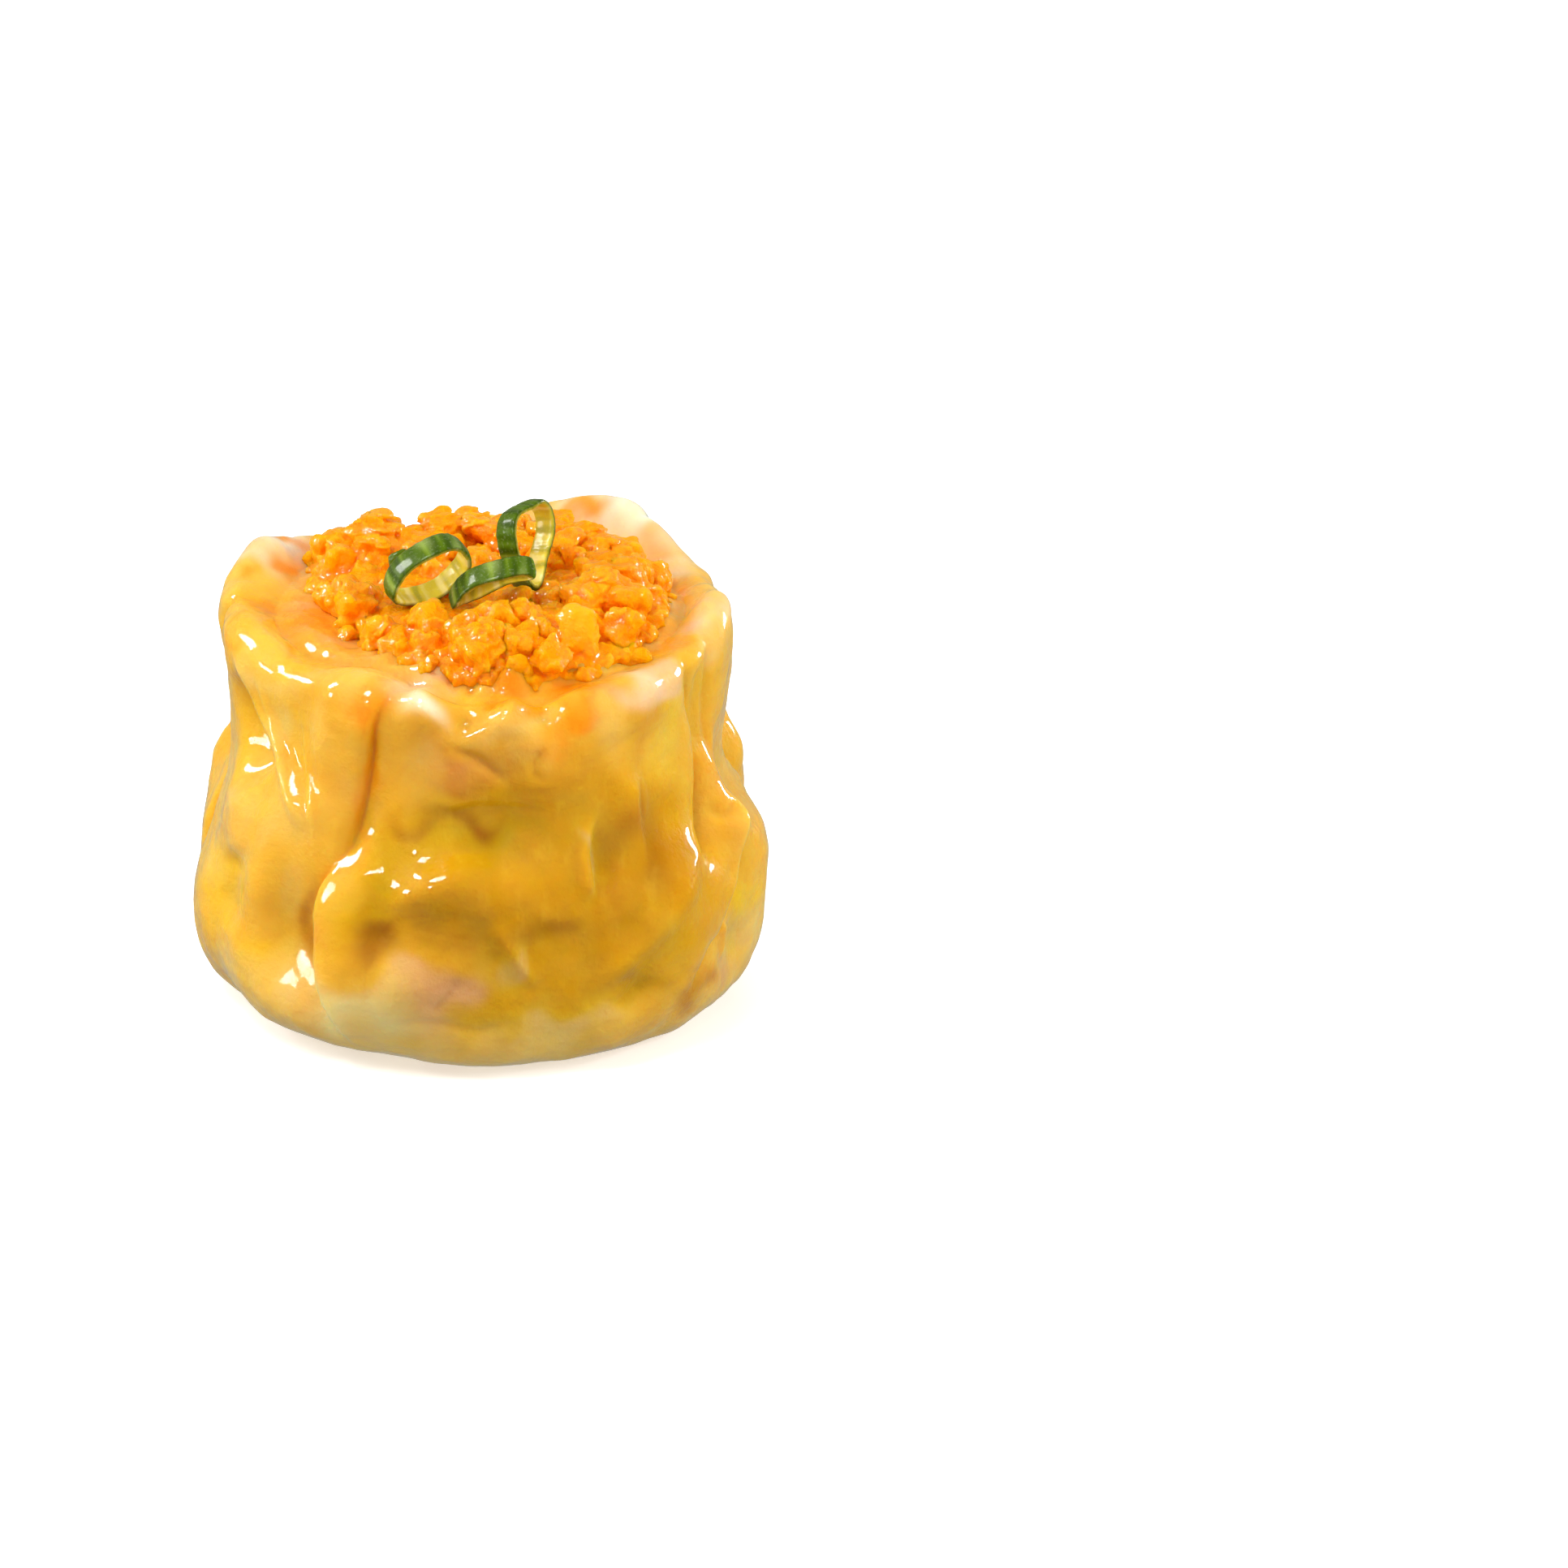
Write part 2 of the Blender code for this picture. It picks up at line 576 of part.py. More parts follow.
def garnish_points():
    """Points all over the spring onion pieces, which the carrot pieces stay clear of."""
    return np.concatenate([scrap_rows().reshape(-1, 3), *(np.concatenate(placed_ring(spec)) for spec in RINGS)])


def chunk_corners(draw, size):
    """The corners of one rough-cut block of carrot."""
    stretch = draw.uniform(0.7, 1.25, 3)
    corners = np.array([(x, y, z) for x in (-1, 1) for y in (-1, 1) for z in (-1, 1)], float)
    corners = corners * stretch * size * 0.62 + draw.uniform(-0.22, 0.22, (8, 3)) * size
    axis = Vector(draw.normal(size=3)).normalized()
    turn = np.array(Matrix.Rotation(draw.uniform(0, 2 * math.pi), 3, axis))
    return corners @ turn.T


def place_chunks():
    """Corner points of the carrot pieces on the core, spread evenly from the middle out, clear of the onion."""
    draw = np.random.default_rng(CHUNK_SEED)
    garnish = garnish_points()
    golden = 180.0 * (3.0 - math.sqrt(5.0))
    placed = []
    for count, reach_share, lift, room in CHUNK_LAYERS:
        for i in range(count):
            share = math.sqrt((i + 0.5) / count)
            size = draw.uniform(*CHUNK_SIZE)
            corners = chunk_corners(draw, size)
            x, y = heap_spot(share * 0.98 * reach_share, np.array((i + 7.0 * lift) * golden % 360.0))
            corners = corners + (float(x), float(y), float(heap_top(x, y)) + lift * size)
            clear = corners[:, 2] - support_height(corners[:, 0], corners[:, 1])
            corners[:, 2] += max(0.0, 0.05 - clear.min())
            middle = corners.mean(axis=0)
            reach = np.linalg.norm(corners - middle, axis=1).max()
            if np.linalg.norm(garnish - middle, axis=1).min() > reach + room:
                placed.append(corners)
    return placed


def build_chunk(corners):
    def build(shape):
        for corner in corners:
            shape.verts.new(tuple(corner))
        hull = bmesh.ops.convex_hull(shape, input=shape.verts)
        spare = [v for v in hull["geom_interior"] if isinstance(v, bmesh.types.BMVert)]
        bmesh.ops.delete(shape, geom=spare, context="VERTS")
        bmesh.ops.recalc_face_normals(shape, faces=shape.faces)
    return build


def keep_largest_piece(thing):
    """Drops scraps that the union left loose."""
    shape = bmesh.new()
    shape.from_mesh(thing.data)
    left = set(shape.verts)
    groups = []
    while left:
        group, edge = set(), [left.pop()]
        while edge:
            vert = edge.pop()
            group.add(vert)
            for link in vert.link_edges:
                other = link.other_vert(vert)
                if other in left:
                    left.discard(other)
                    edge.append(other)
        groups.append(group)
    groups.sort(key=len)
    for group in groups[:-1]:
        bmesh.ops.delete(shape, geom=list(group), context="VERTS")
    bmesh.ops.triangulate(shape, faces=shape.faces)
    shape.to_mesh(thing.data)
    shape.free()


def make_carrot(finish):
    """The heap of chopped carrot: the core with its pieces fused on."""
    heap = new_object("carrot_heap", finish, build_heap_core)
    pieces = bpy.data.collections.new("carrot_pieces")
    bpy.context.scene.collection.children.link(pieces)
    for i, corners in enumerate(place_chunks()):
        chunk = new_object(f"chunk_{i}", finish, build_chunk(corners))
        bpy.context.scene.collection.objects.unlink(chunk)
        pieces.objects.link(chunk)
    join = heap.modifiers.new("join", "BOOLEAN")
    join.operation = "UNION"
    join.operand_type = "COLLECTION"
    join.collection = pieces
    join.solver = "MANIFOLD"
    fused = bpy.data.meshes.new_from_object(heap.evaluated_get(bpy.context.evaluated_depsgraph_get()))
    heap.modifiers.clear()
    heap.data = fused
    heap.data.name = "carrot_heap"
    for chunk in list(pieces.objects):
        bpy.data.objects.remove(chunk)
    bpy.data.collections.remove(pieces)
    keep_largest_piece(heap)
    heap.data.set_sharp_from_angle(angle=math.radians(30))


def main():
    for old in list(bpy.data.objects):
        bpy.data.objects.remove(old)
    finishes = {name: new_finish(name) for name in COLOURS}
    new_object("wrapper", finishes["skin"], build_wrapper)
    new_object("filling", finishes["meat"], build_filling)
    make_carrot(finishes["carrot"])
    for spec in RINGS:
        new_object(spec[0], finishes["scallion"], lambda shape, spec=spec: build_ring(shape, spec))
    new_object("scallion_scrap", finishes["scallion"], build_scrap)


main()
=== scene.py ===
import math

import bmesh
import bpy
import numpy as np
from mathutils import Matrix, Vector
from mathutils.bvhtree import BVHTree
from mathutils.kdtree import KDTree


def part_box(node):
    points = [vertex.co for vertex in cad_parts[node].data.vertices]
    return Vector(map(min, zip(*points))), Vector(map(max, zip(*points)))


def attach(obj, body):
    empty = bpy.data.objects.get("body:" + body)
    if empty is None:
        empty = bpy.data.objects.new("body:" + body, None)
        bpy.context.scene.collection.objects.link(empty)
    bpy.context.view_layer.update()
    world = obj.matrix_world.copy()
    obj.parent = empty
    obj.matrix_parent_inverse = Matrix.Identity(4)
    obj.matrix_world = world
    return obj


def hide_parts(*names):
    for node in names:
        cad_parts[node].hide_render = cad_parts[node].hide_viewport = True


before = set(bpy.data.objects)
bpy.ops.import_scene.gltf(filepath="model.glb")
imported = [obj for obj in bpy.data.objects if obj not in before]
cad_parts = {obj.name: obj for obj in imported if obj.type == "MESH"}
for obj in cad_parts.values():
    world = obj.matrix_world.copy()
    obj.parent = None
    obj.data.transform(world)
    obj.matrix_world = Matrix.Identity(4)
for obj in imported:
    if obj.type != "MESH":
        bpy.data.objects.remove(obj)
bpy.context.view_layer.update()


# The skin
# A round of egg dough gathered up round the meat and steamed until it is glossy and half see-through.
# It stands on its own flattened foot, swells into a belly and turns in at the top as a soft ledge.

# Lengths are in millimetres and angles in degrees round from the front (-Y) to the right. Climb is the way
# up the skin from its foot
MM = 0.001
BELLY_RADIUS = 20.0
RIM_HEIGHT = 28.4
SKIN = 1.2
CLIMB_AT_FOOT = -2.8
CLIMB_AT_WAIST = 18.0
CLIMB_AT_RIM = 28.6
CLIMB_AT_EDGE = 32.4
AROUND = math.radians(1.0) * BELLY_RADIUS
PROFILE = (
    (0.710, 0.000),
    (0.830, 0.021),
    (0.920, 0.070),
    (0.980, 0.158),
    (1.000, 0.275),
    (0.990, 0.405),
    (0.950, 0.521),
    (0.895, 0.620),
    (0.865, 0.725),
    (0.865, 0.838),
    (0.875, 0.926),
    (0.860, 0.982),
    (0.810, 1.007),
    (0.740, 0.996),
    (0.635, 0.965),
)

# Waves of the rim's height, the upper wall, the foot and the ledge's inner edge: angle, half width, size
RIM_WAVES = (
    (-14, 4, 0.40), (-5, 3, -0.35), (7.5, 4, 0.35), (147, 25, 3.3), (-117, 17, 2.1), (-88, 20, 0.6),
    (10, 36, -2.0), (54, 13, -0.5), (90, 15, 1.0), (-46, 18, -0.6), (188, 14, 0.5),
)
FLARES = ((-85, 30, 0.9), (40, 24, -0.3), (147, 24, 0.5), (205, 20, -0.3))
FOOT_WAVES = (
    (-92, 16, 0.6), (-62, 12, -0.3), (-32, 18, -0.7), (46, 14, 0.3), (92, 18, 0.5), (130, 16, 0.4),
    (215, 16, -0.5), (250, 14, 0.4),
)
EDGE_WAVES = (
    (-70, 22, 0.9), (8, 36, 2.1), (-24, 9, -1.2), (22, 8, -0.5), (50, 10, -1.0), (92, 20, 0.7),
    (150, 16, -0.8), (200, 22, 0.6), (255, 14, -0.6),
)

# Creases where two bulges of the skin meet: depth, half width, path of (angle, climb) from the top down
CREASES = (
    (0.8, 0.95, (
        (-22, 32), (-25, 28.5), (-26, 24), (-28, 21), (-29, 18), (-32, 15.5), (-34, 13), (-34, 10),
        (-31, 5),
    )),
    (1.7, 0.80, ((58, 31), (58, 27), (59, 22), (58, 18.5), (56, 15.5), (52, 13))),
    (0.8, 0.90, ((71, 31), (68, 27), (67, 23), (69, 19.0))),
    (1.7, 0.85, ((74, 14.5), (70, 12.6), (63, 10.6), (57, 8.7), (52, 7.4), (46, 4.5))),
    (0.35, 0.80, ((-22, 4.5), (-10, 5.4), (0, 4.6), (8, 5.6))),
    (0.40, 0.50, ((-3.5, 9.4), (-5.5, 8.2), (-8, 7.0), (-11, 6.2))),
    (0.5, 0.40, ((14, 27.0), (12, 25.0), (13, 23.0))),
    (2.1, 1.00, ((100, 32), (102, 27), (98, 21), (104, 15), (112, 8))),
    (2.2, 1.00, ((136, 32), (134, 24), (139, 18), (136, 12), (126, 5))),
    (2.0, 0.95, ((176, 32), (174, 27), (169, 21), (171, 14), (180, 7))),
    (2.2, 1.00, ((206, 32), (208, 26), (213, 20), (209, 14), (201, 7))),
    (2.0, 0.95, ((236, 32), (234, 26), (229, 19), (234, 13), (241, 6))),
    (2.2, 1.00, ((272, 32), (270, 26), (266, 19), (268, 12), (261, 5))),
)

# Soft folds, ridges above zero and valleys below: height, half width, path
FOLDS = (
    (0.80, 0.80, ((-70, 29.5), (-62, 25.5), (-54, 23.5), (-48, 21.5), (-42, 18.8), (-36, 16.0))),
    (-1.50, 2.10, ((-70, 26.5), (-66, 24.0), (-61, 21.5), (-55, 19.6))),
    (-0.85, 1.70, ((-62, 14.5), (-60, 12), (-61, 8))),
    (-0.60, 1.00, ((64, 29), (63, 24), (64, 20))),
    (0.60, 1.30, ((31, 26), (34, 20), (31, 15), (24, 11))),
    (0.70, 1.80, ((-20, 13.6), (-8, 15.2), (4, 14.8), (14, 15.6))),
    (0.45, 1.60, ((-38, 28.0), (-37, 22), (-36, 17.0))),
    (0.90, 1.20, ((116, 29), (114, 23), (108, 18), (104, 12))),
    (0.90, 1.20, ((190, 29), (189, 24), (184, 18), (180, 13))),
    (-1.10, 1.60, ((120, 26), (122, 21), (118, 17))),
    (-1.20, 1.80, ((222, 26), (220, 20), (222, 15))),
    (0.90, 1.20, ((252, 29), (254, 22), (250, 16), (252, 11))),
    (0.28, 0.35, ((-60, 27.5), (-55, 25.0), (-49, 22.6), (-45, 20.0))),
    (0.22, 0.30, ((-44, 27.0), (-42, 23.0), (-38, 19.0), (-37, 15.0))),
    (0.50, 1.20, ((5, 17.0), (-5, 16.0), (-14, 14.4), (-22, 13.4))),
    (0.50, 1.10, ((53, 16.5), (45, 13.4), (36, 10.8), (27, 8.6), (20, 7.0))),
    (0.45, 0.55, ((25, 19.6), (22, 17.4), (21.6, 15.4), (23, 13.4))),
    (0.45, 0.70, ((1, 13.0), (4.5, 11.6), (8, 9.8), (11, 7.6))),
    (0.16, 0.22, ((3, 12.6), (6, 10.8), (9.4, 9.0), (12.6, 7.0))),
    (0.14, 0.20, ((26, 19.0), (23.6, 17.0), (23.2, 15.0), (24.4, 13.4))),
    (0.14, 0.20, ((38, 22.4), (39, 20.4), (38.4, 18.0))),
    (-0.35, 0.45, ((-8, 27.0), (-2, 26.0), (3, 24.4), (7, 22.6))),
    (0.35, 0.40, ((69, 17.2), (66, 15.0), (62, 12.6), (57, 10.4))),
    (-0.45, 0.45, ((60, 17.8), (63, 16.4), (68, 16.6))),
    (0.30, 0.35, ((60, 9.0), (62, 7.4), (60, 5.6))),
)

# Laps where one side of the skin lies over the other: rise, reach, side (1 is towards greater angles), path
LAPS = (
    (1.15, 4.0, -1, ((-20, 34), (-22, 31), (-26, 26), (-28, 21), (-31, 16.0), (-34, 12.0))),
    (1.60, 4.5, 1, ((-29, 18), (-32, 15.5), (-34, 13), (-34, 10), (-30, 4), (-27, 1))),
    (0.80, 5.0, -1, ((58, 29), (59, 22), (56, 15))),
    (0.20, 2.6, 1, ((-17, 17.6), (-11, 19.6), (-5, 21.2), (4, 21.2), (13, 20.8), (19, 19.6))),
    (0.18, 1.8, 1, ((-16, 11.6), (-11, 12.8), (-6, 13.6), (0, 13.2), (5, 12.2), (10, 11.0))),
    (0.50, 1.6, -1, ((27, 20.2), (24, 17.8), (23.4, 15.4), (25.6, 12.6))),
    (0.40, 1.6, -1, ((40, 22.6), (36, 20.4), (37, 16.6), (35, 13.4))),
    (0.90, 5.0, -1, ((73, 14), (63, 10.6), (52, 7.4), (45, 4))),
    (0.90, 4.5, 1, ((100, 31), (98, 21), (112, 8))),
    (0.90, 4.5, -1, ((136, 31), (139, 18), (126, 6))),
    (0.90, 4.5, 1, ((176, 32), (169, 21), (180, 7))),
    (0.90, 4.5, -1, ((206, 32), (213, 20), (201, 7))),
    (0.90, 4.5, 1, ((236, 31), (229, 19), (241, 6))),
    (0.90, 4.5, -1, ((272, 32), (266, 19), (261, 5))),
)

# Lumps and dents that the filling presses into the skin: angle, climb, radius, height
LUMPS = (
    (-3, 23.4, 2.6, 0.50), (5, 19.2, 3.4, -0.75), (-7, 18.6, 2.6, -0.55), (14, 24.0, 3.0, 0.30),
    (-19, 11.2, 2.2, -0.70), (-14, 8.2, 3.0, 0.80), (-24, 15.2, 2.2, 0.50), (-5, 12.0, 2.2, -0.40),
    (31, 16.0, 2.6, -1.20), (42, 18.2, 2.4, -0.50), (14, 13.6, 3.0, 0.35), (14, 10.6, 1.8, -0.45),
    (33, 6.4, 1.5, -0.60), (44, 10.0, 2.6, 0.35), (44, 20.0, 3.2, 0.35), (-42, 9.8, 3.4, -1.50),
    (-41, 4.0, 2.8, 0.95), (-49, 18.0, 3.0, 1.15), (-64, 17.2, 2.6, 0.90), (-52, 12.5, 2.2, 0.45),
    (-75, 8.5, 4.0, 0.55), (-92, 15.0, 4.2, -1.00), (67, 15.6, 2.4, 1.40), (82, 12.0, 3.0, 0.70),
    (78, 19.0, 2.6, -1.10), (84, 6.5, 3.0, 0.35), (86, 17.0, 3.4, -1.10), (88, 9.5, 2.6, -0.25),
    (104, 19.5, 3.2, -1.10), (66, 6.4, 2.4, -0.90), (105, 8.0, 3.6, 0.35), (122, 13.0, 4.0, 0.90),
    (150, 10.0, 4.2, 0.80), (156, 20.0, 3.4, -1.00), (192, 9.0, 4.2, 0.80), (194, 17.0, 3.0, -0.90),
    (222, 11.0, 3.8, 0.90), (248, 8.0, 3.6, 0.80), (258, 18.5, 3.0, -0.90), (-14, 28.8, 1.8, 0.55),
    (-5, 28.8, 1.0, -0.55), (7.5, 29.6, 1.4, 0.80), (15, 29.0, 0.9, -0.45), (24, 29.4, 2.0, 0.45),
    (33, 28.8, 1.0, -0.30), (41, 28.8, 2.0, 0.35), (-112, 30.0, 1.6, 0.45), (-98, 30.0, 1.2, -0.35),
    (80, 30.6, 1.3, 0.40), (87, 29.6, 1.2, 0.40),
)
FOLD_SAMPLES = 24
FOLD_FADE = 0.28
LAP_FADE = 0.42
LAP_SOFTNESS = 0.34
LAP_LEAN = 0.55
LIP_REACH = 1.4
CREASE_ROUNDING = 0.12
INNER_RELIEF = 0.6
THINNING = 0.45
LEDGE_STAYS_FLAT = 0.85
# Fine waves all over the skin: height, size, seed, stretch. The front of the rim has some more
FINE_WAVES = (
    (0.15, 4.2, 3, (1.0, 1.0, 1.6)),
    (0.050, 1.9, 4, (1.0, 1.0, 1.8)),
    (0.018, 0.9, 5, (1.0, 1.0, 1.0)),
)
RIM_RIPPLE = (0.12, 1.7, 6)


def smooth_curve(points, samples):
    """Points along a smooth curve through the given points, with no overshoot where they lie close."""
    given = np.array(points, float)
    padded = np.vstack([2 * given[0] - given[1], given, 2 * given[-1] - given[-2]])
    steps = np.sqrt(np.linalg.norm(np.diff(padded, axis=0), axis=1))
    knots = np.concatenate([[0.0], np.cumsum(steps)])
    wanted = np.linspace(knots[1], knots[-2], samples)
    span = np.clip(np.searchsorted(knots, wanted, side="right") - 1, 1, len(given) - 1)
    k0, k1, k2, k3 = (knots[span + i][:, None] for i in (-1, 0, 1, 2))
    p0, p1, p2, p3 = (padded[span + i] for i in (-1, 0, 1, 2))
    t = wanted[:, None]
    a1 = (k1 - t) / (k1 - k0) * p0 + (t - k0) / (k1 - k0) * p1
    a2 = (k2 - t) / (k2 - k1) * p1 + (t - k1) / (k2 - k1) * p2
    a3 = (k3 - t) / (k3 - k2) * p2 + (t - k2) / (k3 - k2) * p3
    b1 = (k2 - t) / (k2 - k0) * a1 + (t - k0) / (k2 - k0) * a2
    b2 = (k3 - t) / (k3 - k1) * a2 + (t - k1) / (k3 - k1) * a3
    return (k2 - t) / (k2 - k1) * b1 + (t - k1) / (k2 - k1) * b2


def smooth_step(value, low, high):
    share = np.clip((value - low) / (high - low), 0.0, 1.0)
    return share * share * (3.0 - 2.0 * share)


def turn_between(angle, centre):
    """Degrees from centre to angle, the short way round."""
    return (angle - centre + 180.0) % 360.0 - 180.0


def waves(angle, table):
    """The sum of smooth bumps round the dumpling."""
    total = np.zeros_like(angle)
    for centre, half_width, size in table:
        total += size * np.exp(-((turn_between(angle, centre) / half_width) ** 2))
    return total


def along_path(angle, climb, path):
    """For points on the skin: distance to a path, side of it, share along it, and its normal on that side.

    The side is 1 on the left of the path's run, towards greater angles when the path runs down.
    """
    curve = smooth_curve(path, FOLD_SAMPLES)
    middle = curve[:, 0].mean()
    point = np.stack([turn_between(angle, middle) * AROUND, climb], axis=-1)[..., None, :]
    line = np.stack([(curve[:, 0] - middle) * AROUND, curve[:, 1]], axis=-1)
    start, run = line[:-1], np.diff(line, axis=0)
    share = np.clip(((point - start) * run).sum(-1) / (run * run).sum(-1), 0.0, 1.0)
    away = point - (start + share[..., None] * run)
    distance = np.linalg.norm(away, axis=-1)
    nearest = distance.argmin(axis=-1)[..., None]
    cross = run[:, 0] * away[..., 1] - run[:, 1] * away[..., 0]
    side = np.sign(np.take_along_axis(cross, nearest, -1))[..., 0]
    distance = np.take_along_axis(distance, nearest, -1)[..., 0]
    position = (nearest[..., 0] + np.take_along_axis(share, nearest, -1)[..., 0]) / len(run)
    normal = np.stack([-run[:, 1], run[:, 0]], axis=-1) / np.linalg.norm(run, axis=1)[:, None]
    return distance, side, position, normal[nearest[..., 0]]


def fade(position, share=FOLD_FADE):
    """Fades a fold out at both ends of its path."""
    return smooth_step(position, 0.0, share) * smooth_step(1.0 - position, 0.0, share)


RIPPLE_WAVES = 28


def ripples(points, size, seed, stretch=(1.0, 1.0, 1.0)):
    """A smooth random field of unit spread over points in millimetres, with bumps of about this size."""
    draw = np.random.default_rng(seed)
    ways = draw.normal(size=(RIPPLE_WAVES, 3))
    ways /= np.linalg.norm(ways, axis=1)[:, None]
    ways *= (math.pi / size) * draw.uniform(0.6, 1.5, (RIPPLE_WAVES, 1)) / np.array(stretch)
    starts = draw.uniform(0.0, 2.0 * math.pi, RIPPLE_WAVES)
    total = np.zeros(points.shape[:-1])
    for way, start in zip(ways, starts):
        total += np.cos(points @ way + start)
    return total * math.sqrt(2.0 / RIPPLE_WAVES)


PROFILE_CURVE = smooth_curve([(r * BELLY_RADIUS, z * RIM_HEIGHT) for r, z in PROFILE], 400)
PROFILE_STEPS = np.linalg.norm(np.diff(PROFILE_CURVE, axis=0), axis=1)
PROFILE_CLIMB = CLIMB_AT_FOOT + np.concatenate([[0.0], np.cumsum(PROFILE_STEPS)])
PROFILE_TANGENT = np.gradient(PROFILE_CURVE, axis=0)
PROFILE_TANGENT /= np.linalg.norm(PROFILE_TANGENT, axis=1)[:, None]


def folded(angle, climb):
    """How far the skin stands out of its smooth profile, and how far its laps lean over (round and up)."""
    out = np.zeros_like(angle)
    lean = np.zeros(angle.shape + (2,))
    for depth, half_width, path in CREASES:
        distance, _, position, _ = along_path(angle, climb, path)
        out -= depth * np.exp(-np.hypot(distance, CREASE_ROUNDING) / half_width) * fade(position)
    for height, half_width, path in FOLDS:
        distance, _, position, _ = along_path(angle, climb, path)
        out += height * np.exp(-((distance / half_width) ** 2)) * fade(position)
    for rise, reach, over, path in LAPS:
        distance, side, position, normal = along_path(angle, climb, path)
        signed = distance * side * over
        edge = 0.5 * (1.0 + np.tanh(signed / LAP_SOFTNESS))
        held = np.exp(-np.clip(signed, 0.0, None) / reach) * fade(position, LAP_FADE)
        out += rise * edge * held
        tipped = rise * LAP_LEAN * edge * np.exp(-np.clip(signed, 0.0, None) / LIP_REACH)
        tipped = tipped * fade(position, LAP_FADE)
        lean -= over * tipped[..., None] * normal
    for centre, height, radius, size in LUMPS:
        off = np.hypot(turn_between(angle, centre) * AROUND, climb - height)
        out += size * np.exp(-((off / radius) ** 2))
    settled = smooth_step(climb, CLIMB_AT_FOOT, 1.5)
    return out * settled, lean * settled[..., None]


def skin_points(angle, climb, inset=0.0, rough=0.0, relief=None):
    """Points of the skin, or of a surface inset under it, for arrays of angles and climbs."""
    radius = np.interp(climb, PROFILE_CLIMB, PROFILE_CURVE[:, 0])
    height = np.interp(climb, PROFILE_CLIMB, PROFILE_CURVE[:, 1])
    run = np.interp(climb, PROFILE_CLIMB, PROFILE_TANGENT[:, 0])
    rise = np.interp(climb, PROFILE_CLIMB, PROFILE_TANGENT[:, 1])
    out, lean = relief or folded(angle, climb)
    if inset > 0.0:
        out = np.minimum(out * INNER_RELIEF, out + THINNING) - inset
        lean = lean * 0.0
    turn = np.radians(angle)
    if rough > 0.0:
        flat = np.stack([radius * np.sin(turn), -radius * np.cos(turn), height], axis=-1)
        upper_rim = smooth_step(climb, 27.0, 29.0) * np.exp(-((turn_between(angle, 6.0) / 24.0) ** 2))
        settled = smooth_step(climb, CLIMB_AT_FOOT, 2.0)
        fine = sum(tall * ripples(flat, size, seed, stretch) for tall, size, seed, stretch in FINE_WAVES)
        fine = fine + RIM_RIPPLE[0] * upper_rim * ripples(flat, *RIM_RIPPLE[1:])
        out = out + rough * settled * fine
    radius = radius + rise * out + run * lean[..., 1]
    height = height - run * out + rise * lean[..., 1]
    upper = smooth_step(climb, CLIMB_AT_WAIST, CLIMB_AT_RIM)
    ledge = smooth_step(climb, CLIMB_AT_RIM + 1.0, PROFILE_CLIMB[-1] + 1.5)
    lower = 1.0 - smooth_step(climb, -1.0, 9.0)
    height = height + waves(angle, RIM_WAVES) * upper * (1.0 - LEDGE_STAYS_FLAT * ledge)
    radius = radius + waves(angle, FLARES) * upper * (1.0 - ledge) + waves(angle, FOOT_WAVES) * lower
    radius = radius + waves(angle, EDGE_WAVES) * ledge
    turn = turn + lean[..., 0] / np.maximum(radius, 8.0)
    return np.stack([radius * np.sin(turn), -radius * np.cos(turn), height], axis=-1)


def new_piece(name, points, faces):
    """A smooth mesh object from points in millimetres."""
    mesh = bpy.data.meshes.new(name)
    mesh.from_pydata((np.asarray(points) * MM).tolist(), [], faces)
    mesh.update()
    mesh.shade_smooth()
    piece = bpy.data.objects.new(name, mesh)
    bpy.context.scene.collection.objects.link(piece)
    return piece


def ring_faces(rows, columns, first=0):
    """Faces from each ring of points to the next, pointing outwards where the rings climb."""
    low = first + np.arange((rows - 1) * columns).reshape(rows - 1, columns)
    near = np.roll(low, -1, axis=1)
    return np.stack([low, near, near + columns, low + columns], axis=-1).reshape(-1, 4).tolist()


def stack_of_rings(rings, bottom, top):
    """Points and faces of closed rings one above the other, closed at each end by a fan."""
    rows, columns = len(rings), len(rings[0])
    points = np.concatenate([*rings, [bottom], [top]])
    faces = ring_faces(rows, columns)
    for start, middle, step in ((0, rows * columns, -1), ((rows - 1) * columns, rows * columns + 1, 1)):
        ring = [start + i for i in range(columns)][::step]
        faces += [(ring[i], ring[(i + 1) % columns], middle) for i in range(columns)]
    return points, faces


def add_colours(piece, name, colours):
    """Stores one linear colour for each vertex."""
    layer = piece.data.color_attributes.new(name=name, type="FLOAT_COLOR", domain="POINT")
    full = np.concatenate([np.clip(colours, 0.0, 1.0), np.ones((len(colours), 1))], axis=1)
    layer.data.foreach_set("color", full.astype(np.float32).ravel())


SKIN_COLUMNS = 420
SKIN_ROWS = 196
LINING_CLIMBS = (32.2, 31.4, 30.6, 29.8, 29.0, 27.0, 23.6, 20.2, 16.8, 13.4, 9.8, 5.6, 2.2, -0.4)

# What shows through the skin and on it: golden egg dough, pink meat, greenish onion, carrot juice; the
# gold, brown and umber tones are also used as painted shade in the hollows and recesses
EGG = (0.85, 0.44, 0.030)
DOUGH = {
    "cream": (0.88, 0.56, 0.13),
    "pale": (0.90, 0.60, 0.17),
    "flap": (0.98, 0.85, 0.66),
    "yellow": (0.88, 0.50, 0.025),
    "lemon": (0.89, 0.49, 0.012),
    "green": (0.72, 0.41, 0.008),
    "olive": (0.56, 0.27, 0.005),
    "tan": (0.74, 0.34, 0.018),
    "brown": (0.54, 0.23, 0.006),
    "gold": (0.62, 0.25, 0.002),
    "umber": (0.42, 0.13, 0.001),
    "milk": (0.98, 0.75, 0.29),
    "pink": (0.68, 0.27, 0.055),
    "rosy": (0.86, 0.45, 0.18),
    "blush": (0.94, 0.61, 0.36),
    "amber": (0.90, 0.33, 0.006),
    "juice": (0.93, 0.30, 0.001),
}
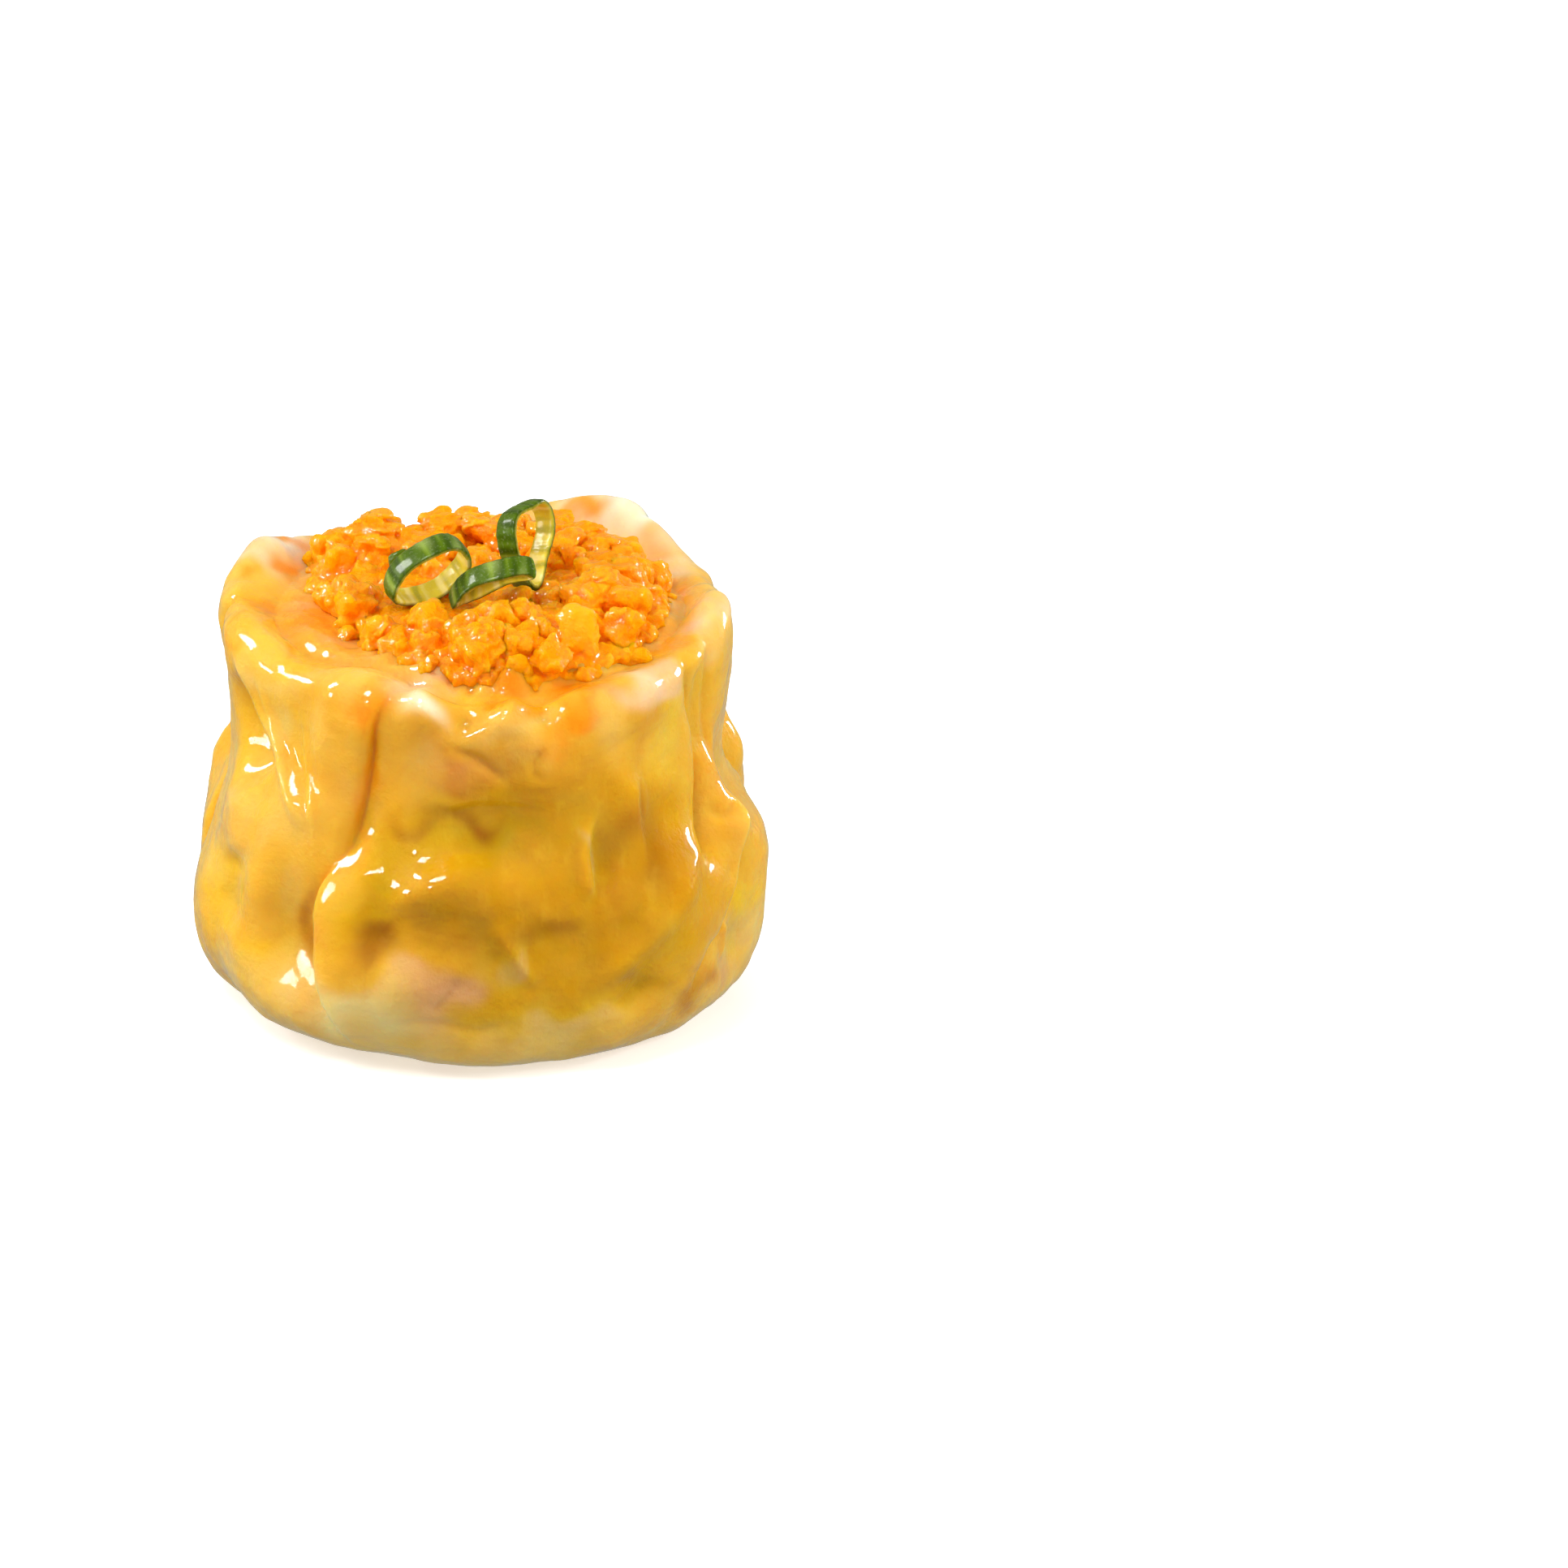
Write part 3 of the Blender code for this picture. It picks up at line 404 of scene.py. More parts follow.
# The umber and brown patches in the front's recesses and grooves are partly the dough's own deeper colour
# and partly painted shade
# colour, angle, climb, half width, half height, strength
SKIN_PATCHES = (
    ("tan", -16, 24.2, 3.2, 3.2, 0.25), ("pink", -1.5, 24.4, 3.4, 2.2, 0.80),
    ("tan", 20, 22.5, 4.2, 3.4, 0.60), ("tan", 39.5, 25.4, 1.5, 3.6, 0.60),
    ("lemon", 47.5, 23.4, 1.6, 4.6, 0.85), ("gold", 38, 17.0, 3.6, 3.8, 0.90),
    ("brown", 36, 15.6, 3.0, 3.2, 0.45), ("pale", 21.5, 16.8, 0.7, 2.4, 0.60),
    ("umber", -5.0, 19.6, 4.0, 1.4, 0.90), ("green", -6.0, 17.4, 3.6, 1.4, 0.60),
    ("green", 9.0, 18.6, 2.4, 1.5, 0.55), ("green", -20, 16.4, 2.6, 2.0, 0.75),
    ("lemon", -26, 12.4, 1.8, 2.6, 0.60), ("tan", 0, 14.4, 5.4, 1.4, 0.35),
    ("brown", 12.5, 11.4, 3.6, 1.5, 0.65), ("brown", -3.0, 12.0, 2.6, 1.0, 0.50),
    ("umber", -17, 10.8, 1.8, 1.5, 0.90), ("rosy", -8.5, 7.8, 3.4, 2.6, 0.80),
    ("pale", 5.0, 9.8, 0.8, 1.6, 0.65), ("milk", -27, 5.2, 4.4, 2.8, 0.85),
    ("pale", 18, 4.6, 4.4, 1.8, 0.45), ("olive", 29.5, 6.8, 2.8, 1.3, 0.55),
    ("umber", 50, 4.8, 2.4, 1.9, 0.60), ("tan", 47, 12.6, 2.4, 3.6, 0.60),
    ("lemon", 74, 8.4, 1.8, 2.0, 0.85), ("amber", 66, 20.0, 1.6, 4.0, 0.35),
    ("tan", 62, 14.6, 2.0, 2.6, 0.55), ("pink", 64, 5.8, 2.2, 2.0, 0.60),
    ("yellow", -70, 21.8, 2.6, 4.0, 0.55), ("pale", -51, 23.8, 1.5, 3.4, 0.30),
    ("tan", -32, 24.0, 2.4, 4.4, 0.35), ("juice", -21.8, 29.2, 1.25, 2.4, 1.0),
    ("juice", -24.6, 25.8, 0.8, 3.0, 0.85), ("amber", -28.3, 21.0, 0.75, 3.0, 0.75),
    ("amber", -33.5, 14.0, 0.60, 3.0, 0.55), ("flap", -12.6, 28.8, 2.0, 1.3, 0.80),
    ("cream", 6.0, 28.2, 3.0, 1.3, 0.55), ("lemon", -52, 6.4, 2.4, 2.0, 0.60),
    ("umber", -38.5, 10.0, 1.7, 3.2, 0.95), ("lemon", -66, 10.4, 2.0, 2.4, 0.45),
    ("pale", -60, 15.4, 1.2, 3.6, 0.35), ("juice", 7.5, 29.8, 1.7, 1.5, 0.90),
    ("juice", 24.5, 29.4, 3.0, 1.4, 0.95), ("amber", 19.0, 27.4, 1.4, 1.0, 0.60),
    ("tan", 3.0, 26.0, 4.4, 1.4, 0.55), ("cream", -46, 28.6, 5.0, 1.3, 0.60),
    ("pale", -66, 28.2, 3.4, 1.4, 0.50), ("blush", 39.5, 28.8, 2.8, 1.3, 0.80),
    ("amber", 16.0, 25.8, 2.4, 0.9, 0.40), ("yellow", -56, 30.0, 4.2, 1.4, 0.55),
    ("amber", -86, 31.0, 2.2, 0.8, 0.70), ("amber", -76, 30.2, 1.4, 0.5, 0.60),
    ("flap", -116, 31.0, 5.0, 2.4, 0.95), ("juice", -116, 29.8, 1.9, 0.6, 0.90),
    ("amber", -100, 29.6, 1.4, 0.5, 0.60), ("flap", 138, 31.0, 8.0, 3.8, 1.00),
    ("juice", 152, 31.2, 2.4, 1.1, 1.00), ("blush", 156, 32.2, 2.6, 1.0, 0.30),
    ("flap", 80, 30.2, 4.0, 1.8, 0.55), ("amber", 62, 30.6, 1.8, 0.8, 0.55),
    ("yellow", 178, 26.0, 4.0, 4.0, 0.40), ("pink", 210, 18.0, 3.4, 3.0, 0.60),
    ("green", 190, 12.0, 3.0, 2.4, 0.55), ("olive", 236, 15.0, 2.0, 3.4, 0.50),
    ("tan", 160, 20.0, 4.0, 3.0, 0.55), ("brown", 136, 12.0, 2.0, 3.0, 0.50),
    ("green", 118, 10.0, 3.0, 2.4, 0.50), ("pink", 250, 9.0, 3.2, 2.4, 0.60),
    ("tan", 95, 22.0, 2.0, 4.0, 0.50), ("pink", 122, 20.0, 2.6, 2.4, 0.55),
)


PATCH_GAIN = 1.25
PATCH_MOST = 0.95


def painted(base, angle, climb, patches, names):
    """Colours over a surface: a base with soft-edged patches laid on it one after the other."""
    colour = np.broadcast_to(np.array(base), angle.shape + (3,)).copy()
    for name, centre, height, wide, tall, strength in patches:
        off = (turn_between(angle, centre) * AROUND / wide) ** 2 + ((climb - height) / tall) ** 2
        share = (min(PATCH_GAIN * strength, PATCH_MOST) * np.exp(-(off ** 1.3)))[..., None]
        colour += (np.array(names[name]) - colour) * share
    return colour


def mixed(colour, other, share):
    return colour + (np.array(other) - colour) * np.clip(share, 0.0, 1.0)[..., None]


# The juices that stain the ledge and the meat inside it
STAINS = {
    "raw": (0.92, 0.35, 0.035),
    "white": (0.93, 0.53, 0.25),
    "rose": (0.90, 0.33, 0.07),
    "stained": (0.93, 0.31, 0.010),
    "juice": (0.93, 0.27, 0.001),
    "yellow": (0.90, 0.47, 0.040),
}
# Stains on the ledge and the meat, seen from above: colour, x, y, half sizes, strength
TOP_PATCHES = (
    ("stained", -12.4, -4.0, 2.4, 3.4, 0.80), ("raw", -9.0, -9.4, 3.0, 2.0, 0.70),
    ("yellow", -15.0, -8.4, 2.4, 3.0, 0.50), ("yellow", -15.8, 1.0, 2.2, 4.0, 0.50),
    ("juice", -16.6, 2.6, 0.9, 1.1, 0.80), ("juice", -14.4, 4.6, 1.3, 0.7, 0.80),
    ("juice", -15.0, -1.0, 0.9, 1.3, 0.70), ("juice", -16.2, 7.4, 0.9, 0.9, 0.80),
    ("juice", -13.0, -8.2, 0.6, 1.8, 0.60), ("white", -4.4, -13.8, 2.1, 1.5, 0.90),
    ("juice", 1.9, -13.7, 1.5, 2.0, 0.95), ("juice", 6.4, -13.1, 2.5, 1.7, 0.95),
    ("white", 12.2, -11.0, 2.5, 1.6, 0.85), ("stained", 13.0, -5.0, 1.4, 2.2, 0.70),
    ("yellow", -1.0, -14.6, 0.9, 1.0, 0.60), ("juice", -0.6, -12.4, 2.0, 0.8, 0.60),
    ("juice", 13.8, 1.2, 0.9, 2.2, 0.60), ("yellow", 15.8, -2.0, 1.8, 3.6, 0.50),
    ("stained", 11.4, 7.6, 2.0, 2.6, 0.60), ("juice", 7.2, 13.4, 1.9, 1.0, 0.70),
    ("stained", -3.0, 12.6, 3.0, 1.4, 0.50), ("juice", -13.4, 8.2, 1.6, 1.0, 0.70),
)


def stained(colour, spots, share=1.0):
    """Lays the stains seen from above on colours at these spots."""
    drift = 0.35 * np.stack([ripples(spots, 1.4, 35), ripples(spots, 1.4, 36)], axis=-1)
    x, y = spots[..., 0] + drift[..., 0], spots[..., 1] + drift[..., 1]
    for name, centre_x, centre_y, wide, deep, strength in TOP_PATCHES:
        off = ((x - centre_x) / wide) ** 2 + ((y - centre_y) / deep) ** 2
        colour = mixed(colour, STAINS[name], share * strength * np.exp(-(off ** 1.4)))
    return colour


skin_angle = np.arange(SKIN_COLUMNS) * 360.0 / SKIN_COLUMNS
skin_climb = np.linspace(CLIMB_AT_FOOT, CLIMB_AT_EDGE, SKIN_ROWS)
angle_grid, climb_grid = np.meshgrid(skin_angle, skin_climb)
relief_here, lean_here = folded(angle_grid, climb_grid)
outside = skin_points(angle_grid, climb_grid, rough=1.0, relief=(relief_here, lean_here))
lining_angle, lining_climb = np.meshgrid(skin_angle, LINING_CLIMBS)
lining = skin_points(lining_angle, lining_climb, inset=SKIN)
lining_floor = lining[-1] * (0.93, 0.93, 0.0) + (0.0, 0.0, SKIN)
outside[0, :, 2] = 0.0
outside[1:, :, 2] = np.maximum(outside[1:, :, 2], 0.02)

# From the ledge's edge inwards the skin is a film lying on the meat, with the meat's bumps and colours
FILM_ROWS = 30
FILM_REACH = 0.70
# Rows of the film that its underside follows, and how far below them it lies
FILM_UNDER = ((-1, 2.6), (-8, 2.6), (-15, 2.5), (-22, 1.7))
MEAT_TOP = 27.9
# How far the meat is banked up against the ledge: angle, half width, height
BANKS = ((6, 34, 0.6), (-62, 30, 0.3), (90, 40, 0.3), (200, 50, 0.3))
# Lumps of meat: x, y, radius, height
MEAT_LUMPS = (
    (-4.4, -13.4, 1.7, 0.8), (-1.4, -13.8, 0.9, -0.3), (-6.8, -12.4, 1.3, 0.4), (9.4, -11.4, 1.6, 0.5),
    (1.9, -13.5, 1.2, 0.9), (4.0, -13.6, 0.8, -0.3), (6.3, -13.0, 1.5, 0.6), (11.6, -9.0, 1.4, 0.5),
    (-11.0, -6.0, 2.4, 0.30), (-9.2, -9.6, 1.8, 0.3), (13.0, -3.0, 1.4, 0.4), (-7.0, 10.6, 1.6, 0.5),
    (1.0, 12.4, 1.6, 0.5), (9.0, 9.8, 1.6, 0.4),
)
edge_turn = np.arctan2(outside[-1, :, 0], -outside[-1, :, 1])
edge_angle = np.degrees(edge_turn)
edge_radius = np.hypot(outside[-1, :, 0], outside[-1, :, 1])
edge_height = outside[-1, :, 2]
film_rings = []
film_shares = np.linspace(1.0, FILM_REACH, FILM_ROWS + 1)[1:]
for share in film_shares:
    radius = edge_radius * share
    x, y = radius * np.sin(edge_turn), -radius * np.cos(edge_turn)
    spot = np.stack([x, y, edge_height + (MEAT_TOP - edge_height) * (1.0 - share**3)], axis=-1)
    crumpled = 0.20 + 0.80 * np.exp(-((turn_between(edge_angle, 6.0) / 40.0) ** 2))
    bumps = crumpled * (0.22 * ripples(spot, 1.6, 31) + 0.12 * ripples(spot, 0.8, 32))
    bumps = bumps + waves(edge_angle, BANKS) * math.exp(-(((share - 0.88) / 0.10) ** 2))
    for lump_x, lump_y, size, rise in MEAT_LUMPS:
        bumps = bumps + rise * np.exp(-(((x - lump_x) ** 2 + (y - lump_y) ** 2) / size**2))
    spot[:, 2] += bumps * smooth_step(1.0 - share, 0.0, 0.07)
    film_rings.append(spot)
film_under = [film_rings[row] - (0.0, 0.0, thick) for row, thick in FILM_UNDER]
skin_rings = [*outside, *film_rings, *film_under, *lining, lining_floor]
wrapper = new_piece("wrapper_skin", *stack_of_rings(skin_rings, (0.0, 0.0, 0.0), (0.0, 0.0, SKIN)))

# The patches' edges wander, the dough is paler at the foot, painted shade makes it golden in the hollows,
# painted light makes it creamier where it stands out, and small clouds lie all over it
ANGLE_DRIFT = 2.4
CLIMB_DRIFT = 0.8
FOOT_MILK = 0.50
RUN_OFF = 0.85
skin_turn = np.radians(angle_grid)
blur = np.stack([np.sin(skin_turn), -np.cos(skin_turn), climb_grid / BELLY_RADIUS], axis=-1)
blur = blur * BELLY_RADIUS
angle_drift = angle_grid + ANGLE_DRIFT * ripples(blur, 2.6, 21)
climb_drift = climb_grid + CLIMB_DRIFT * ripples(blur, 2.6, 22)
skin_colour = painted(EGG, angle_drift, climb_drift, SKIN_PATCHES, DOUGH)
low_share = 1.0 - smooth_step(climb_drift, -1.0, 8.0)
low_share *= 1.0 - 0.75 * np.exp(-((turn_between(angle_grid, 46.0) / 22.0) ** 2))
skin_colour = mixed(skin_colour, DOUGH["milk"], FOOT_MILK * low_share)
# Painted shade: golden where the skin sinks into creases and hollows
skin_colour = mixed(skin_colour, DOUGH["gold"], 0.40 * smooth_step(-relief_here, 0.5, 2.2))
run_off, _, _, _ = along_path(angle_drift, climb_drift, CREASES[0][2])
run_off = np.exp(-((run_off / RUN_OFF) ** 2)) * (0.35 + 0.65 * smooth_step(climb_grid, 17.0, 26.0))
skin_colour = mixed(skin_colour, DOUGH["juice"], 0.85 * run_off * smooth_step(climb_grid, 6.0, 10.0))
# Painted light: creamier where the skin's relief stands out
skin_colour = mixed(skin_colour, DOUGH["cream"], 0.30 * smooth_step(relief_here, 0.3, 1.6))
cloud = ripples(blur, 3.4, 24)
skin_colour = mixed(skin_colour, DOUGH["tan"], 0.40 * smooth_step(cloud, 0.3, 1.7))
skin_colour = mixed(skin_colour, DOUGH["cream"], 0.30 * smooth_step(-cloud, 0.3, 1.7))
mottle = ripples(blur, 1.6, 23, (1.0, 1.0, 1.8))
skin_colour = mixed(skin_colour, DOUGH["pale"], 0.16 * smooth_step(mottle, 0.2, 2.0))
skin_colour = mixed(skin_colour, DOUGH["green"], 0.20 * smooth_step(-mottle, 0.4, 2.0))

# In front the dough is darkened with painted shade, and its golden parts hold no blue
SHADE_ANGLE, SHADE_HALF_ANGLE = 14.0, 39.0
SHADE_CLIMB, SHADE_HALF_CLIMB = 14.0, 9.5
SHADE_DARKENS = (0.26, 0.30, 0.32)
BLUE_SWALLOWED = 0.80
shade_off = (turn_between(angle_grid, SHADE_ANGLE) / SHADE_HALF_ANGLE) ** 2
shade_off = shade_off + ((climb_grid - SHADE_CLIMB) / SHADE_HALF_CLIMB) ** 2
front_shade = np.exp(-(shade_off ** 2))
golden = 1.0 - smooth_step(skin_colour[..., 2], 0.07, 0.14)
# Painted shade over the front of the skin
skin_colour *= 1.0 - front_shade[..., None] * SHADE_DARKENS
skin_colour[..., 2] *= 1.0 - BLUE_SWALLOWED * golden * smooth_step(front_shade, 0.0, 0.5)
flap_dry = 1.0 - 0.75 * np.exp(-((turn_between(angle_grid, 140) / 34) ** 2))
wet_edge = smooth_step(climb_drift, 30.4, 32.6) * flap_dry
skin_colour = mixed(skin_colour, STAINS["raw"], 0.35 * wet_edge)
film_spots = np.array(film_rings)
fat = ripples(film_spots, 1.5, 33)
film_colour = np.broadcast_to(np.array(STAINS["raw"]), film_spots.shape).copy()
film_colour = mixed(film_colour, STAINS["white"], 0.40 * smooth_step(fat, 0.2, 1.4))
film_colour = mixed(film_colour, STAINS["rose"], 0.45 * smooth_step(-fat, 0.2, 1.4))
film_juice = smooth_step(ripples(film_spots, 2.4, 34), 0.8, 1.6)
film_colour = mixed(film_colour, STAINS["juice"], 0.5 * film_juice)
film_start = smooth_step(1.0 - film_shares, 0.0, 0.16)[:, None, None]
film_colour = skin_colour[-1][None] + (film_colour - skin_colour[-1][None]) * film_start
near_heap = smooth_step(1.0 - film_shares, 0.10, 0.28)[:, None] * np.ones(SKIN_COLUMNS)
film_colour = mixed(film_colour, STAINS["stained"], 0.60 * near_heap)
film_colour = stained(film_colour, film_spots)
skin_colour = stained(skin_colour, outside, smooth_step(climb_drift, 27.4, 28.8))
hidden_rings = len(skin_rings) - SKIN_ROWS - FILM_ROWS
inside_colour = np.broadcast_to(np.array(DOUGH["cream"]), (hidden_rings * SKIN_COLUMNS + 2, 3))
all_colours = [skin_colour.reshape(-1, 3), film_colour.reshape(-1, 3), inside_colour]
add_colours(wrapper, "dough", np.concatenate(all_colours))


class Wire:
    """A socket of a material's nodes. Arithmetic on it adds Math nodes."""

    def __init__(self, tree, socket=None):
        self.tree = tree
        self.socket = socket

    def node(self, kind, settings=None, inputs=None, out=0):
        """Adds a node with its settings and its sockets' values or links. Returns one of its outputs."""
        made = self.tree.nodes.new(kind)
        for name, value in (settings or {}).items():
            setattr(made, name, value)
        for name, value in (inputs or {}).items():
            if isinstance(value, Wire):
                self.tree.links.new(value.socket, made.inputs[name])
            else:
                made.inputs[name].default_value = value
        return Wire(self.tree, made.outputs[out])

    def maths(self, operation, first, second):
        return self.node("ShaderNodeMath", {"operation": operation}, {0: first, 1: second})

    def __add__(self, other):
        return self.maths("ADD", self, other)

    __radd__ = __add__

    def __sub__(self, other):
        return self.maths("SUBTRACT", self, other)

    def __rsub__(self, other):
        return self.maths("SUBTRACT", other, self)

    def __mul__(self, other):
        return self.maths("MULTIPLY", self, other)

    __rmul__ = __mul__


def new_finish(name):
    """A material with its surface shader and the wire that adds nodes to it."""
    finish = bpy.data.materials.new(name)
    finish.use_nodes = True
    shader = finish.node_tree.nodes["Principled BSDF"]
    return finish, shader, Wire(finish.node_tree)


def grains(wire, place, scale, detail=2.0, stretch=None):
    """Noise from 0 to 1 at this many bumps a metre."""
    if stretch:
        place = wire.node("ShaderNodeVectorMath", {"operation": "MULTIPLY"}, {0: place, 1: stretch})
    return wire.node("ShaderNodeTexNoise", {"noise_dimensions": "3D"},
                     {"Vector": place, "Scale": scale, "Detail": detail, "Roughness": 0.55})


def mask(wire, value, low, high):
    """0 below low and 1 above high, smoothly."""
    return wire.node("ShaderNodeMapRange", {"interpolation_type": "SMOOTHSTEP"},
                     {"Value": value, "From Min": low, "From Max": high})


def blend(wire, under, over, amount, kind="MIX"):
    settings = {"data_type": "RGBA", "blend_type": kind}
    return wire.node("ShaderNodeMix", settings, {0: amount, 6: under, 7: over}, out=2)


def bumpy(wire, shader, layers):
    """Links one Bump node for each (height wire, depth in metres) to the shader's normal."""
    normal = None
    for height, depth in layers:
        inputs = {"Height": height, "Distance": depth, "Strength": 1.0}
        if normal:
            inputs["Normal"] = normal
        normal = wire.node("ShaderNodeBump", None, inputs)
    wire.tree.links.new(normal.socket, shader.inputs["Normal"])


def set_sockets(wire, shader, values):
    for name, value in values.items():
        if isinstance(value, Wire):
            wire.tree.links.new(value.socket, shader.inputs[name])
        else:
            shader.inputs[name].default_value = value


def skin_finish():
    """Steamed egg dough: soft light inside it, a wet film outside that breaks up its highlights."""
    finish, shader, wire = new_finish("skin")
    place = wire.node("ShaderNodeTexCoord", out=3)
    dough = wire.node("ShaderNodeVertexColor", {"layer_name": "dough"})
    streaks = grains(wire, place, 900.0, 3.0, (1.0, 1.0, 0.35))
    flecks = grains(wire, place, 1900.0, 2.0)
    colour = blend(wire, dough, (1.0, 0.66, 0.05, 1.0), mask(wire, streaks, 0.52, 0.78) * 0.12)
    colour = blend(wire, colour, (0.80, 0.62, 0.30, 1.0), mask(wire, flecks, 0.60, 0.76) * 0.12, "MULTIPLY")
    film = grains(wire, place, 420.0, 2.0)
    crinkle = grains(wire, place, 2600.0, 3.0)
    fine = grains(wire, place, 4200.0, 2.0)
    set_sockets(wire, shader, {
        "Base Color": colour,
        "Roughness": 0.30 + mask(wire, film, 0.35, 0.70) * 0.16,
        "Subsurface Weight": 0.85,
        "Subsurface Radius": (1.0, 0.60, 0.25),
        "Subsurface Scale": 0.0018,
        "Specular IOR Level": 0.03,
        "Coat Weight": mask(wire, film, 0.30, 0.62) * 0.6 + 0.30,
        "Coat Roughness": 0.05,
        "Coat IOR": 1.40,
    })
    bumpy(wire, shader, ((film, 0.00012), (streaks, 0.00010), (crinkle, 0.00010), (fine, 0.00002)))
    return finish


wrapper.data.materials.append(skin_finish())
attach(wrapper, "root")
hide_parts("wrapper")


# The meat
# Minced meat packed into the skin and domed up under its film and the carrot, pink and wet, stained with
# carrot juice. It lies lower under the film, where nothing shows of it.
GAP = 0.3
MEAT_COLUMNS = 300
MEAT_TOP_ROWS = 40
# How far the meat lies below the film in the middle, how much further outside the heap, and between which
# shares of its radius it goes down by that
MEAT_DROPS = (0.9, 2.4)
DROP_SHARES = (0.54, 0.64)
BODY_CLIMBS = (-0.4, 2.2, 5.6, 9.8, 13.4, 16.8, 20.2, 23.6, 25.6)

meat_angle = np.arange(MEAT_COLUMNS) * 360.0 / MEAT_COLUMNS
meat_turn = np.radians(meat_angle)
body_angle, body_climb = np.meshgrid(meat_angle, BODY_CLIMBS)
body = skin_points(body_angle, body_climb, inset=SKIN + 2 * GAP)
body_floor = body[0] * (0.92, 0.92, 0.0) + (0.0, 0.0, SKIN + GAP)
ledge = skin_points(meat_angle, np.full(MEAT_COLUMNS, CLIMB_AT_EDGE))
meat_radius = np.hypot(ledge[:, 0], ledge[:, 1]) - GAP
meat_rings = [body_floor, *body]
for share in np.linspace(1.0, 0.02, MEAT_TOP_ROWS) ** 0.8:
    radius = meat_radius * share
    top = ledge[:, 2] + (MEAT_TOP - ledge[:, 2]) * (1.0 - share**3) - MEAT_DROPS[0]
    top = top - MEAT_DROPS[1] * smooth_step(share, *DROP_SHARES)
    spot = np.stack([radius * np.sin(meat_turn), -radius * np.cos(meat_turn), top], axis=-1)
    lumpy = 0.16 * ripples(spot, 1.6, 38) + 0.06 * ripples(spot, 0.8, 39)
    spot[:, 2] += lumpy * smooth_step(0.70 - share, 0.0, 0.10)
    meat_rings.append(spot)
meat_points, meat_faces = stack_of_rings(meat_rings, (0.0, 0.0, SKIN + GAP), (0.0, 0.0, MEAT_TOP))
filling = new_piece("meat_filling", meat_points, meat_faces)

meat_colour = np.broadcast_to(np.array(STAINS["raw"]), meat_points.shape).copy()
meat_fat = ripples(meat_points, 1.4, 33)
meat_colour = mixed(meat_colour, STAINS["white"], 0.35 * smooth_step(meat_fat, 0.2, 1.4))
meat_colour = mixed(meat_colour, STAINS["rose"], 0.45 * smooth_step(-meat_fat, 0.2, 1.4))
meat_juice = smooth_step(ripples(meat_points, 2.4, 34), 0.8, 1.6)
meat_colour = mixed(meat_colour, STAINS["juice"], 0.5 * meat_juice)
add_colours(filling, "meat", meat_colour)


def meat_finish():
    """Cooked minced meat under a film of juice."""
    finish, shader, wire = new_finish("meat")
    place = wire.node("ShaderNodeTexCoord", out=3)
    meat = wire.node("ShaderNodeVertexColor", {"layer_name": "meat"})
    fibres = grains(wire, place, 1500.0, 3.0)
    crinkle = grains(wire, place, 3600.0, 2.0)
    set_sockets(wire, shader, {
        "Base Color": blend(wire, meat, (1.0, 0.66, 0.30, 1.0), mask(wire, fibres, 0.5, 0.75) * 0.08),
        "Specular IOR Level": 0.2,
        "Roughness": 0.22 + mask(wire, crinkle, 0.35, 0.7) * 0.18,
        "Subsurface Weight": 0.60,
        "Subsurface Radius": (1.0, 0.45, 0.20),
        "Subsurface Scale": 0.0012,
        "Coat Weight": 0.8,
        "Coat Roughness": 0.05,
        "Coat IOR": 1.38,
    })
    bumpy(wire, shader, ((fibres, 0.00008), (crinkle, 0.00004)))
    return finish


filling.data.materials.append(meat_finish())
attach(filling, "root")
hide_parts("filling")


# The carrot
# Finely chopped carrot heaped on the meat and steamed soft, so that it sticks together in wet clumps, with
# pale bits, and hollows between them made deep orange with painted shade. One mesh: the heap, with small
# pieces melted onto it.
CHOP_SEED = 5
CORE_SWELL = 0.26
LUMP_COUNT = 60
LUMP_SIZES = (0.8, 1.5)
CHOP_ROOM = 0.15
MELT = 0.17
# Loose crumbs and closed hollows below this volume are taken away
LEAST_PART = 4.0
# Above this height the heap is pressed down by a share of what stands out
PRESSED_ABOVE = 31.4
PRESSED_SHARE = 0.5
# Layers of grains on the clumps: number, smallest and largest radius, height as a share of the radius
GRAIN_LAYERS = ((420, 0.55, 1.15, 0.34), (2800, 0.20, 0.42, 0.34))
GRAIN_WARP = 0.36
GRAINS_ABOVE = 27.0
GRAINS_FACE_UP = -0.4
FINE_GRAIN = 0.030
# Clumps that stand out of the heap: x, y, z, radius
CLUMPS = (
    (-7.4, 5.6, 29.1, 1.8), (-9.4, 2.2, 28.5, 1.8), (-4.6, 6.2, 28.7, 1.8), (-1.8, 6.8, 28.4, 1.8),
    (1.0, 7.0, 28.7, 1.8), (7.0, 5.0, 29.4, 2.2), (9.6, 1.8, 28.6, 2.0), (-6.8, -7.4, 28.9, 2.0),
    (-3.4, -8.0, 29.7, 2.2), (-0.6, -9.0, 29.4, 2.0), (2.9, -7.6, 30.6, 2.2), (4.6, -8.6, 29.6, 1.8),
    (1.4, -10.6, 28.6, 1.9), (-4.6, -10.6, 28.2, 1.9), (-1.8, -11.8, 27.9, 1.6), (10.0, -2.6, 28.2, 1.6),
    (4.4, -11.6, 28.1, 1.8), (-8.6, -1.6, 28.6, 1.9), (7.4, -1.4, 29.4, 1.9), (-10.2, 6.0, 29.4, 1.5),
    (3.4, 9.0, 29.2, 2.0),
)
# Small pieces spread on the meat round the heap: number, how far past the heap's edge, half sizes
SPREAD = (170, (-1.2, 0.3), (0.30, 0.70))
SPREAD_REACH = 15.0
EDGE_WINDOW = 6.0
